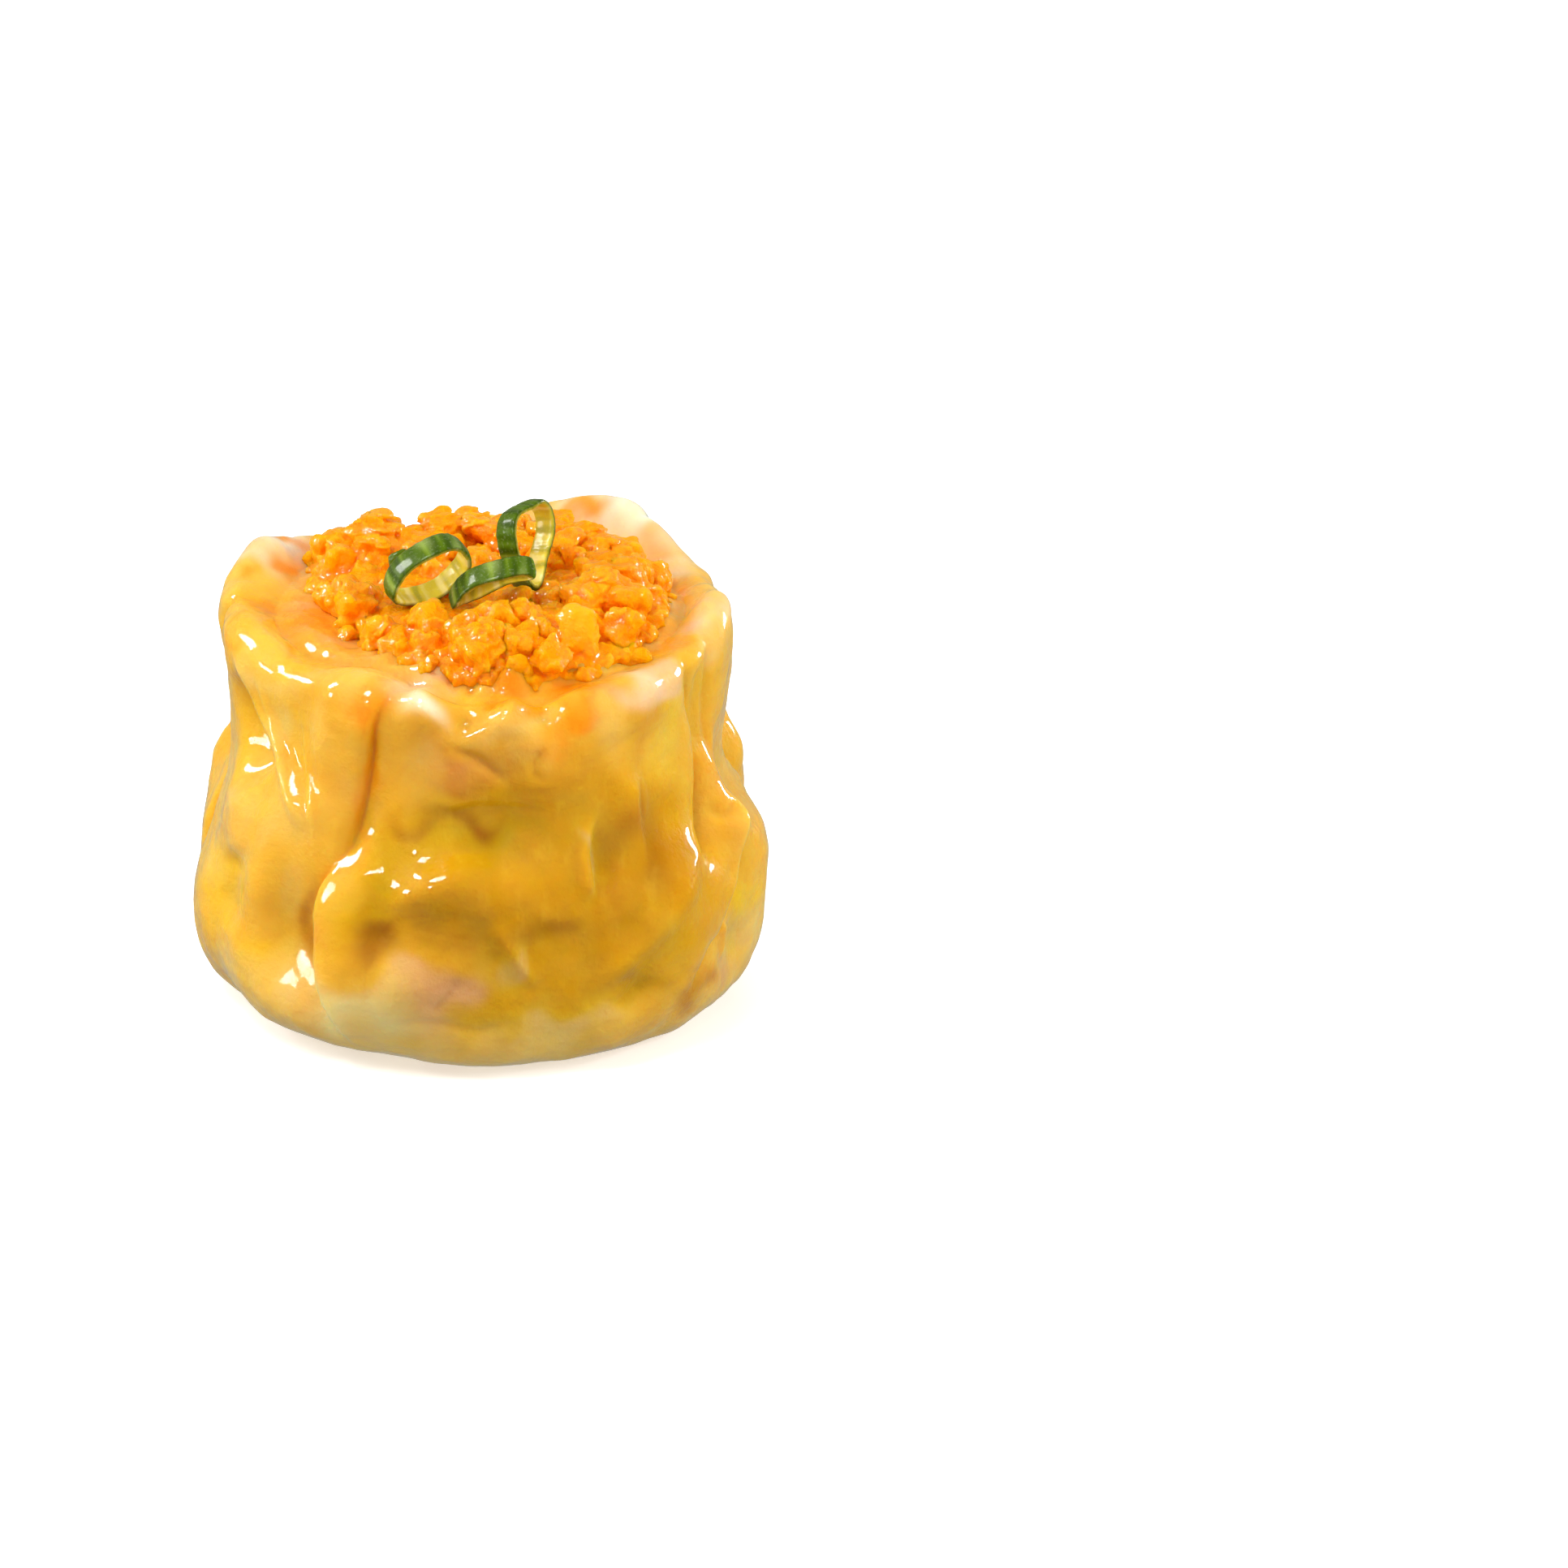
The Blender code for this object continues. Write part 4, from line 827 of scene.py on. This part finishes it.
# Single large pieces: centre, half sizes, turn in degrees about Y and then X
LARGE_CHOPS = (
    ((6.9, -9.6, 29.8), (1.70, 1.05, 2.55), -14, -16),
    ((8.0, 3.0, 30.2), (1.3, 0.9, 0.9), 22, -14),
    ((1.6, -12.4, 28.3), (1.1, 0.8, 0.8), 16, 8),
)
CARROT = {
    "orange": (0.96, 0.335, 0.001),
    "bright": (0.97, 0.385, 0.002),
    "pale": (0.97, 0.47, 0.012),
    "deep": (0.95, 0.24, 0.0005),
}

heap_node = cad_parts["carrot_heap"]
garnish_names = ("scallion_ring_left", "scallion_ring_right", "scallion_strip", "scallion_scrap")
garnish_spots = [v.co / MM for name in garnish_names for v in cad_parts[name].data.vertices]
garnish_tree = KDTree(len(garnish_spots))
for index, spot in enumerate(garnish_spots):
    garnish_tree.insert(spot, index)
garnish_tree.balance()

ball = bmesh.new()
bmesh.ops.create_icosphere(ball, subdivisions=2, radius=1.0)
BALL_POINTS = np.array([v.co for v in ball.verts])
BALL_FACES = np.array([[v.index for v in f.verts] for f in ball.faces])
ball.free()


def random_turn(draw):
    axis = Vector(draw.normal(size=3)).normalized()
    return np.array(Matrix.Rotation(draw.uniform(0.0, 2.0 * math.pi), 3, axis))


def chop(draw, half_sizes, cuts=7):
    """Points of one rough-cut piece: a ball with flat cuts taken off it."""
    points = BALL_POINTS.copy()
    for _ in range(cuts):
        way = draw.normal(size=3)
        way /= np.linalg.norm(way)
        depth = draw.uniform(0.40, 0.75)
        over = np.clip(points @ way - depth, 0.0, None)
        points -= over[:, None] * way
    return points * half_sizes


draw = np.random.default_rng(CHOP_SEED)
core = bmesh.new()
core.from_mesh(heap_node.data)
bmesh.ops.remove_doubles(core, verts=core.verts, dist=0.005 * MM)
bmesh.ops.triangulate(core, faces=core.faces)
core.normal_update()
core.verts.index_update()
heap_verts = np.array([vert.co for vert in core.verts]) / MM
heap_tris = np.array([[vert.index for vert in face.verts] for face in core.faces])
swollen = heap_verts + CORE_SWELL * np.array([vert.normal for vert in core.verts])
core.free()
corners = heap_verts[heap_tris]
cross = np.cross(corners[:, 1] - corners[:, 0], corners[:, 2] - corners[:, 0])
area = np.linalg.norm(cross, axis=1)
open_side = np.where(cross[:, 2] > -0.1 * area, area, 0.0)
chosen = draw.choice(len(heap_tris), LUMP_COUNT, p=open_side / open_side.sum())
weights = draw.dirichlet((1.0, 1.0, 1.0), LUMP_COUNT)
lump_spots = (corners[chosen] * weights[..., None]).sum(axis=1)
inwards = -cross[chosen] / area[chosen][:, None]

chop_points, chop_faces = [swollen], [heap_tris]
used = len(heap_verts)


def add_chop(points):
    global used
    chop_points.append(points)
    chop_faces.append(BALL_FACES + used)
    used += len(points)


for x, y, z, reach in CLUMPS:
    half = 0.80 * reach * draw.uniform(0.65, 1.30, 3)
    add_chop(chop(draw, half, 6) @ random_turn(draw).T + np.array((x, y, z - 0.15 * reach)))
for spot, inward in zip(lump_spots, inwards):
    half = draw.uniform(*LUMP_SIZES) * draw.uniform(0.60, 1.30, 3)
    spot = spot + 0.95 * half.min() * inward
    if garnish_tree.find(spot)[2] > half.max() + CHOP_ROOM:
        add_chop(chop(draw, half) @ random_turn(draw).T + spot)
for centre, half, turn_y, turn_x in LARGE_CHOPS:
    turn = Matrix.Rotation(math.radians(turn_y), 3, "Y") @ Matrix.Rotation(math.radians(turn_x), 3, "X")
    add_chop(chop(draw, half, 5) @ np.array(turn).T + np.array(centre))
heap_angles = np.degrees(np.arctan2(heap_verts[:, 0], -heap_verts[:, 1]))
heap_reach = np.hypot(heap_verts[:, 0], heap_verts[:, 1])
skin_spots = np.array([v.co for v in wrapper.data.vertices]) / MM
skin_sides = [tuple(face.vertices) for face in wrapper.data.polygons]
skin_tree = BVHTree.FromPolygons(skin_spots.tolist(), skin_sides)
count, past, sizes = SPREAD
for _ in range(count):
    angle = draw.uniform(-180.0, 180.0)
    edge = heap_reach[np.abs(turn_between(heap_angles, angle)) < EDGE_WINDOW].max()
    radius = edge + draw.uniform(*past)
    x, y = radius * math.sin(math.radians(angle)), -radius * math.cos(math.radians(angle))
    landing = skin_tree.ray_cast(Vector((x, y, 60.0)), Vector((0.0, 0.0, -1.0)))[0]
    if landing and radius < SPREAD_REACH:
        half = draw.uniform(*sizes) * draw.uniform(0.7, 1.3, 3)
        add_chop(chop(draw, half) @ random_turn(draw).T + np.array((x, y, landing.z + 0.15 * half[2])))
carrot = new_piece("carrot_pieces", np.concatenate(chop_points), np.concatenate(chop_faces).tolist())
melt = carrot.modifiers.new("melt", "REMESH")
melt.mode = "VOXEL"
melt.voxel_size = MELT * MM
soften = carrot.modifiers.new("soften", "SMOOTH")
soften.factor = 0.5
soften.iterations = 4
melted = bpy.data.meshes.new_from_object(carrot.evaluated_get(bpy.context.evaluated_depsgraph_get()))
carrot.modifiers.clear()
carrot.data = melted
melted.name = "carrot_pieces"

# Only the outside of the heap is kept: no loose crumbs, and no hollows closed up inside it
shell = bmesh.new()
shell.from_mesh(melted)
unseen = set(shell.verts)
parts = []
while unseen:
    part = [unseen.pop()]
    for vert in part:
        for edge in vert.link_edges:
            other = edge.other_vert(vert)
            if other in unseen:
                unseen.remove(other)
                part.append(other)
    parts.append(part)
stray = []
for part in parts:
    faces = {face for vert in part for face in vert.link_faces}
    volume = sum(face.calc_center_median().dot(face.normal) * face.calc_area() for face in faces) / 3.0
    if volume < LEAST_PART * MM**3:
        stray += part
bmesh.ops.delete(shell, geom=stray, context="VERTS")
shell.to_mesh(melted)
shell.free()


def mesh_points(mesh):
    flat = np.empty(len(mesh.vertices) * 3, np.float32)
    mesh.vertices.foreach_get("co", flat)
    return flat.reshape(-1, 3).astype(float) / MM


def mesh_normals(mesh):
    flat = np.empty(len(mesh.vertices) * 3, np.float32)
    mesh.vertices.foreach_get("normal", flat)
    return flat.reshape(-1, 3).astype(float)


carrot_spots = mesh_points(melted)
carrot_normals = mesh_normals(melted)
warp = np.stack([ripples(carrot_spots, 0.8, seed) for seed in (44, 45, 46)], axis=-1)
warped = carrot_spots + GRAIN_WARP * warp
warped_tree = KDTree(len(warped))
for index, spot in enumerate(warped):
    warped_tree.insert(spot, index)
warped_tree.balance()
outer = np.flatnonzero((carrot_normals[:, 2] > GRAINS_FACE_UP) & (carrot_spots[:, 2] > GRAINS_ABOVE))
raised = np.zeros(len(carrot_spots))
tones = np.full(len(carrot_spots), "orange", dtype="<U8")
slab = np.array(LARGE_CHOPS[0][0])
for count, smallest, largest, share in GRAIN_LAYERS:
    layer = np.zeros(len(carrot_spots))
    for start in draw.choice(outer, count):
        reach = draw.uniform(smallest, largest)
        tall = share * reach * draw.uniform(0.5, 1.3)
        tone = draw.choice(("orange", "bright", "pale", "deep"), p=(0.44, 0.34, 0.08, 0.14))
        if np.linalg.norm((carrot_spots[start] - slab) / LARGE_CHOPS[0][1]) < 1.3:
            continue
        for _, index, distance in warped_tree.find_range(warped[start], reach):
            up = tall * (1.0 - (distance / reach) ** 3)
            if up > layer[index]:
                layer[index] = up
                tones[index] = tone
    raised += layer
raised += FINE_GRAIN * ripples(carrot_spots, 0.45, 42)
raised *= smooth_step(carrot_spots[:, 2], 26.6, 27.4)
carrot_spots += carrot_normals * raised[:, None]
stands_out = np.clip(carrot_spots[:, 2] - PRESSED_ABOVE, 0.0, None)
carrot_spots[:, 2] -= PRESSED_SHARE * stands_out
melted.vertices.foreach_set("co", (carrot_spots * MM).astype(np.float32).ravel())
melted.update()
melted.shade_smooth()

carrot_colour = np.array([CARROT[tone] for tone in tones])
carrot_colour = mixed(carrot_colour, CARROT["orange"], np.full(len(carrot_spots), 0.40))
# Painted shade: deeper orange where no grain raises the surface
carrot_colour = mixed(carrot_colour, CARROT["deep"], 0.55 * (1.0 - smooth_step(raised, 0.02, 0.30)))
in_slab = np.linalg.norm((carrot_spots - slab) / LARGE_CHOPS[0][1], axis=1)
carrot_colour = mixed(carrot_colour, CARROT["pale"], 0.8 * (1.0 - smooth_step(in_slab, 0.9, 1.3)))

# Painted shade makes hollows in the heap deeper in colour, and painted light makes what stands above its
# neighbours brighter
CELL = 0.5
GRID_HALF = 20.0
GRID_FLOOR = 26.0
GRID_CELLS = 81
cells = np.round((carrot_spots[:, :2] + GRID_HALF) / CELL).astype(int)
tops = np.full((GRID_CELLS, GRID_CELLS), GRID_FLOOR)
np.maximum.at(tops, (cells[:, 0], cells[:, 1]), carrot_spots[:, 2])
smooth_tops = tops.copy()
for _ in range(4):
    smooth_tops = (smooth_tops + np.roll(smooth_tops, 1, 0) + np.roll(smooth_tops, -1, 0)) / 3.0
    smooth_tops = (smooth_tops + np.roll(smooth_tops, 1, 1) + np.roll(smooth_tops, -1, 1)) / 3.0
sunken = smooth_tops[cells[:, 0], cells[:, 1]] - carrot_spots[:, 2]
carrot_colour = mixed(carrot_colour, CARROT["deep"], 0.70 * smooth_step(sunken, 0.2, 1.8))
carrot_colour = mixed(carrot_colour, CARROT["bright"], 0.45 * smooth_step(-sunken, 0.0, 0.9))
bits = ripples(carrot_spots, 1.0, 43)
carrot_colour = mixed(carrot_colour, CARROT["pale"], 0.45 * smooth_step(bits, 1.3, 2.3))
add_colours(carrot, "carrot", carrot_colour)


def carrot_finish():
    """Steamed carrot: bright all through, wet, with small sharp glints."""
    finish, shader, wire = new_finish("carrot")
    place = wire.node("ShaderNodeTexCoord", out=3)
    tone = wire.node("ShaderNodeVertexColor", {"layer_name": "carrot"})
    fibres = grains(wire, place, 1700.0, 3.0)
    crinkle = grains(wire, place, 4200.0, 3.0)
    wet = grains(wire, place, 700.0, 2.0)
    set_sockets(wire, shader, {
        "Base Color": blend(wire, tone, (1.0, 0.50, 0.02, 1.0), mask(wire, fibres, 0.52, 0.74) * 0.14),
        "Specular IOR Level": 0.03,
        "Roughness": 0.20 + mask(wire, wet, 0.35, 0.65) * 0.26,
        "Subsurface Weight": 0.60,
        "Subsurface Radius": (1.0, 0.38, 0.06),
        "Subsurface Scale": 0.0018,
        "Coat Weight": mask(wire, wet, 0.40, 0.62) * 0.75 + 0.05,
        "Coat Roughness": 0.05,
        "Coat IOR": 1.38,
    })
    bumpy(wire, shader, ((fibres, 0.00022), (crinkle, 0.00010)))
    return finish


melted.materials.clear()
melted.materials.append(carrot_finish())
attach(carrot, "root")
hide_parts("carrot_heap")


# The spring onion
# Four bits of a green leaf, which is a hollow tube: two open loops, one loop pressed flat and a thin scrap.
# They are dark and waxy outside with fine ribs along the leaf, and pale yellow-green inside. They lie loose
# on the carrot.
LEAF = 0.42
LOOP_COLUMNS = 120
LOOP_ROWS = 18
END_THINNING = 0.45
RIB_HEIGHT = 0.012
BARREL = 0.07
CUT_WAVE = 0.08
# name, CAD node, long axis, bore axis, long and short half widths, cut length, teardrop share, bow, size
# and angle of its three soft corners, slant of the cuts, shift from the middle of the node's box
LOOPS = (
    ("onion_loop_left", "scallion_ring_left", (0.88, 0.234, 0.414), (-0.365, 0.888, 0.276), 3.0, 1.85, 1.95,
     0.05, 0.0, (0.06, 60), 0.15, (0.0, 0.0, 0.0)),
    ("onion_loop_right", "scallion_ring_right", (0.15, 0.30, 0.94), (-0.74, 0.60, -0.26), 2.95, 1.95, 1.65,
     0.10, 0.0, (0.36, 42), -0.2, (0.3, 0.0, -0.1)),
    ("onion_loop_flat", "scallion_strip", (0.78, 0.30, 0.55), (-0.10, 0.84, 0.53), 3.0, 0.50, 1.7,
     0.0, 0.35, (0.05, 20), 0.3, (-0.8, 0.1, 0.3)),
)
ONION = {
    "leaf": (0.072, 0.132, 0.001),
    "dark": (0.030, 0.062, 0.001),
    "light": (0.27, 0.38, 0.03),
    "bloom_and_sheen": (0.36, 0.45, 0.12),
    "inside": (0.72, 0.58, 0.035),
    "inside_light": (0.95, 0.84, 0.30),
}


def loop_frame(long_axis, bore_axis):
    """Rows are a loop's long axis, short axis and bore in the world."""
    z = Vector(bore_axis).normalized()
    x = Vector(long_axis)
    x = (x - x.dot(z) * z).normalized()
    return np.array((x, z.cross(x), z))


def streaky(turn, along, seed, fineness):
    """Streaks that run along the leaf: they change quickly round the loop and slowly along it."""
    place = np.stack([np.cos(turn) * fineness, np.sin(turn) * fineness, along * 0.35], axis=-1)
    return ripples(place, 1.0, seed)


def onion_loop(name, node, long_axis, bore_axis, long_half, short_half, length, teardrop, bow, corners,
               slant, shift):
    turn = np.arange(LOOP_COLUMNS) * 2.0 * math.pi / LOOP_COLUMNS
    rings, colours = [], []
    seed = 50 + len(name)
    walls = ((0.5, np.linspace(-0.5, 0.5, LOOP_ROWS)), (-0.5, np.linspace(0.5, -0.5, LOOP_ROWS)))
    for wall, ends in walls:
        for end in ends:
            thick = LEAF * (1.0 - END_THINNING * (2.0 * abs(end)) ** 8)
            narrow = 1.0 + teardrop * np.cos(turn)
            ribs = RIB_HEIGHT * streaky(turn, np.full_like(turn, end * length), seed, 9.0)
            crumple = corners[0] * np.cos(3.0 * (turn - math.radians(corners[1])))
            crumple = crumple + 0.03 * np.cos(5.0 * turn + 2.0 * seed + 2.0 * end)
            offset = wall * thick + ribs + crumple
            barrel = 1.0 - BARREL * abs(end)
            x = (long_half + offset) * np.cos(turn) * barrel
            y = (short_half + offset) * np.sin(turn) * narrow * barrel
            y = y + bow * (np.cos(turn) ** 2 - 0.5) * 2.0
            z = end * length + slant * np.cos(turn) * (2.0 * abs(end)) ** 2
            z = z + CUT_WAVE * np.cos(4.0 * turn + seed)
            rings.append(np.stack([x, y, z], axis=-1))
            streak = streaky(turn, np.full_like(turn, end * length), seed + 1, 7.0)
            sheen = streaky(turn, np.full_like(turn, end * length), seed + 2, 2.0)
            cut = smooth_step(np.full_like(turn, abs(end)), 0.44, 0.5)
            if wall > 0.0:
                tone = np.broadcast_to(np.array(ONION["leaf"]), (LOOP_COLUMNS, 3)).copy()
                tone = mixed(tone, ONION["dark"], 0.8 * smooth_step(-streak, 0.1, 1.6))
                tone = mixed(tone, ONION["light"], 0.7 * smooth_step(streak, 0.4, 1.8))
                # Pale streaks outside: partly the leaf's waxy bloom, partly painted sheen
                tone = mixed(tone, ONION["bloom_and_sheen"], 0.45 * smooth_step(sheen, 0.5, 1.7))
                tone = mixed(tone, ONION["dark"], 0.7 * cut)
            else:
                tone = np.broadcast_to(np.array(ONION["inside"]), (LOOP_COLUMNS, 3)).copy()
                tone = mixed(tone, ONION["leaf"], 0.4 * smooth_step(-streak, 0.3, 1.7))
                tone = mixed(tone, ONION["inside_light"], 0.7 * smooth_step(streak, 0.2, 1.5))
                tone = mixed(tone, ONION["leaf"], 0.4 * cut)
            colours.append(tone)
    points = np.concatenate(rings) @ loop_frame(long_axis, bore_axis)
    low, high = (np.array(corner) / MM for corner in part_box(node))
    points += (low + high) / 2.0 - (points.min(axis=0) + points.max(axis=0)) / 2.0 + np.array(shift)
    rows = len(rings)
    faces = ring_faces(rows, LOOP_COLUMNS)
    last = (rows - 1) * LOOP_COLUMNS
    for i in range(LOOP_COLUMNS):
        j = (i + 1) % LOOP_COLUMNS
        faces.append((last + i, last + j, j, i))
    piece = new_piece(name, points, faces)
    add_colours(piece, "onion", np.concatenate(colours))
    return piece


def onion_finish():
    """A waxy leaf: satin, with fine ribs and a little light coming through."""
    finish, shader, wire = new_finish("spring_onion")
    place = wire.node("ShaderNodeTexCoord", out=3)
    leaf = wire.node("ShaderNodeVertexColor", {"layer_name": "onion"})
    cells_noise = grains(wire, place, 5200.0, 2.0)
    set_sockets(wire, shader, {
        "Base Color": blend(wire, leaf, (1.0, 1.0, 0.75, 1.0), mask(wire, cells_noise, 0.5, 0.8) * 0.10),
        "Specular IOR Level": 0.05,
        "Roughness": 0.30 + mask(wire, cells_noise, 0.35, 0.7) * 0.14,
        "Subsurface Weight": 0.10,
        "Subsurface Radius": (0.4, 1.0, 0.15),
        "Subsurface Scale": 0.0006,
        "Coat Weight": 0.15,
        "Coat Roughness": 0.12,
    })
    bumpy(wire, shader, ((cells_noise, 0.00002),))
    return finish


onion = onion_finish()
for spec in LOOPS:
    loop = onion_loop(*spec)
    loop.data.materials.append(onion)
    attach(loop, "root")
    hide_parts(spec[1])

# The scrap is a thin curled sliver
SCRAP_ROWS = 24
SCRAP_COLUMNS = 16
SCRAP_LENGTH = 1.75
SCRAP_HEIGHT = 0.42
SCRAP_THICKNESS = 0.15
SCRAP_ARCH = 0.34
SCRAP_CURL = 0.25
SCRAP_SHIFT = (0.5, 0.4, 0.5)
scrap_low, scrap_high = (np.array(corner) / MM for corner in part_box("scallion_scrap"))
scrap_around = np.arange(SCRAP_COLUMNS) * 2.0 * math.pi / SCRAP_COLUMNS
scrap_rings = []
for share in np.linspace(-0.5, 0.5, SCRAP_ROWS):
    tall = SCRAP_HEIGHT * (1.0 - 3.2 * share**4) * (1.0 + 0.15 * math.sin(9.0 * share))
    lift = SCRAP_ARCH * (1.0 - 4.0 * share * share)
    along = np.full(SCRAP_COLUMNS, share * SCRAP_LENGTH)
    sideways = SCRAP_THICKNESS * np.cos(scrap_around) + SCRAP_CURL * share * share * 4.0
    scrap_rings.append(np.stack([along, sideways, lift + tall * np.sin(scrap_around)], axis=-1))
scrap_points, scrap_faces = stack_of_rings(scrap_rings, (-0.9, 0.25, 0.0), (0.9, 0.25, 0.0))
scrap_turn = Matrix.Rotation(math.radians(20), 3, "Z") @ Matrix.Rotation(math.radians(-25), 3, "X")
scrap_points = scrap_points @ np.array(scrap_turn).T
scrap_middle = (scrap_points.min(axis=0) + scrap_points.max(axis=0)) / 2.0
scrap_points += (scrap_low + scrap_high) / 2.0 - scrap_middle
scrap_points += SCRAP_SHIFT
scrap = new_piece("onion_scrap", scrap_points, scrap_faces)
scrap_streak = ripples(scrap_points, 0.5, 77)
scrap_tone = np.broadcast_to(np.array(ONION["leaf"]), scrap_points.shape).copy()
scrap_tone = mixed(scrap_tone, ONION["light"], 0.6 * smooth_step(scrap_streak, 0.0, 1.5))
add_colours(scrap, "onion", scrap_tone)
scrap.data.materials.append(onion)
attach(scrap, "root")
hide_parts("scallion_scrap")


# The table, the light and the camera
# A plain pale table top, soft lights from above, the left and the right, weak ones in front and behind, and
# small lamps that only make glints on the wet surfaces. A long lens looks down at the dumpling's front from
# 21 degrees.
TABLE_CORNERS = [(-1500, -1500, 0), (1500, -1500, 0), (1500, 1500, 0), (-1500, 1500, 0)]
table = new_piece("table", TABLE_CORNERS, [(0, 1, 2, 3)])
table_finish, table_shader, table_wire = new_finish("table_top")
set_sockets(table_wire, table_shader, {
    "Base Color": (0.92, 0.92, 0.915, 1.0),
    "Roughness": 0.6,
    "Emission Color": (1.0, 1.0, 1.0, 1.0),
    "Emission Strength": 0.45,
})
table.data.materials.append(table_finish)
# The bright table would wash out the wet skin's colours, so it doesn't light or mirror in the dumpling
table.visible_diffuse = False
table.visible_glossy = False

world = bpy.data.worlds.new("room")
world.use_nodes = True
room_light = world.node_tree.nodes["Background"]
room_light.inputs["Color"].default_value = (1.0, 0.99, 0.97, 1.0)
room_light.inputs["Strength"].default_value = 0.38
bpy.context.scene.world = world
bpy.context.scene.view_settings.view_transform = "Standard"

TARGET = Vector((0.0, 0.0, 0.015))
# name, place, power in watts, width, height, and whether it only makes glints: the others aren't mirrored
LIGHTS = (
    ("top", (-0.15, -0.21, 0.445), 1.07, 0.16, 0.16, False),
    ("left", (-0.39, 0.01, 0.24), 0.94, 0.12, 0.20, False),
    ("right", (0.37, -0.10, 0.19), 1.06, 0.10, 0.20, False),
    ("front", (0.05, -0.50, 0.07), 0.58, 0.36, 0.24, False),
    ("back", (0.05, 0.36, 0.34), 0.40, 0.30, 0.12, False),
    ("left_low", (-0.30, -0.33, 0.05), 0.44, 0.20, 0.20, False),
    ("glint_top", (-0.12, -0.15, 0.41), 2.0, 0.12, 0.12, True),
    ("glint_front", (-0.17, -0.33, 0.27), 0.6, 0.07, 0.06, True),
    ("glint_left", (-0.36, 0.08, 0.31), 3.0, 0.11, 0.18, True),
    ("glint_low", (-0.40, -0.09, 0.10), 0.9, 0.08, 0.10, True),
    ("glint_right", (0.355, 0.20, 0.12), 1.3, 0.07, 0.12, True),
)
for name, place, power, width, height, glints_only in LIGHTS:
    lamp = bpy.data.lights.new(name, "AREA")
    lamp.shape = "RECTANGLE"
    lamp.size = width
    lamp.size_y = height
    lamp.energy = power
    light = bpy.data.objects.new(name, lamp)
    light.location = place
    light.rotation_mode = "QUATERNION"
    light.rotation_quaternion = (Vector(place) - TARGET).to_track_quat("Z", "Y")
    light.visible_diffuse = not glints_only
    light.visible_glossy = glints_only
    bpy.context.scene.collection.objects.link(light)

# The photograph has the dumpling left of its middle, so the camera is turned to the right by that much
DISTANCE = 0.45
ELEVATION = math.radians(21.0)
PIXEL = 0.0573 * MM
PHOTO = 1932
LEFT_OF_MIDDLE = 373
SENSOR = 36.0
towards = Vector((0.0, math.cos(ELEVATION), -math.sin(ELEVATION)))
camera_data = bpy.data.cameras.new("camera")
camera_data.sensor_width = SENSOR
camera_data.lens = SENSOR * DISTANCE / (PHOTO * PIXEL)
camera = bpy.data.objects.new("camera", camera_data)
camera.location = TARGET - towards * DISTANCE
aim = towards.to_track_quat("-Z", "Y")
swing = math.atan(LEFT_OF_MIDDLE * PIXEL / DISTANCE)
camera.rotation_mode = "QUATERNION"
turn_right = Matrix.Rotation(-swing, 3, aim @ Vector((0.0, 1.0, 0.0))).to_quaternion()
camera.rotation_quaternion = turn_right @ aim
bpy.context.scene.collection.objects.link(camera)
bpy.context.scene.camera = camera
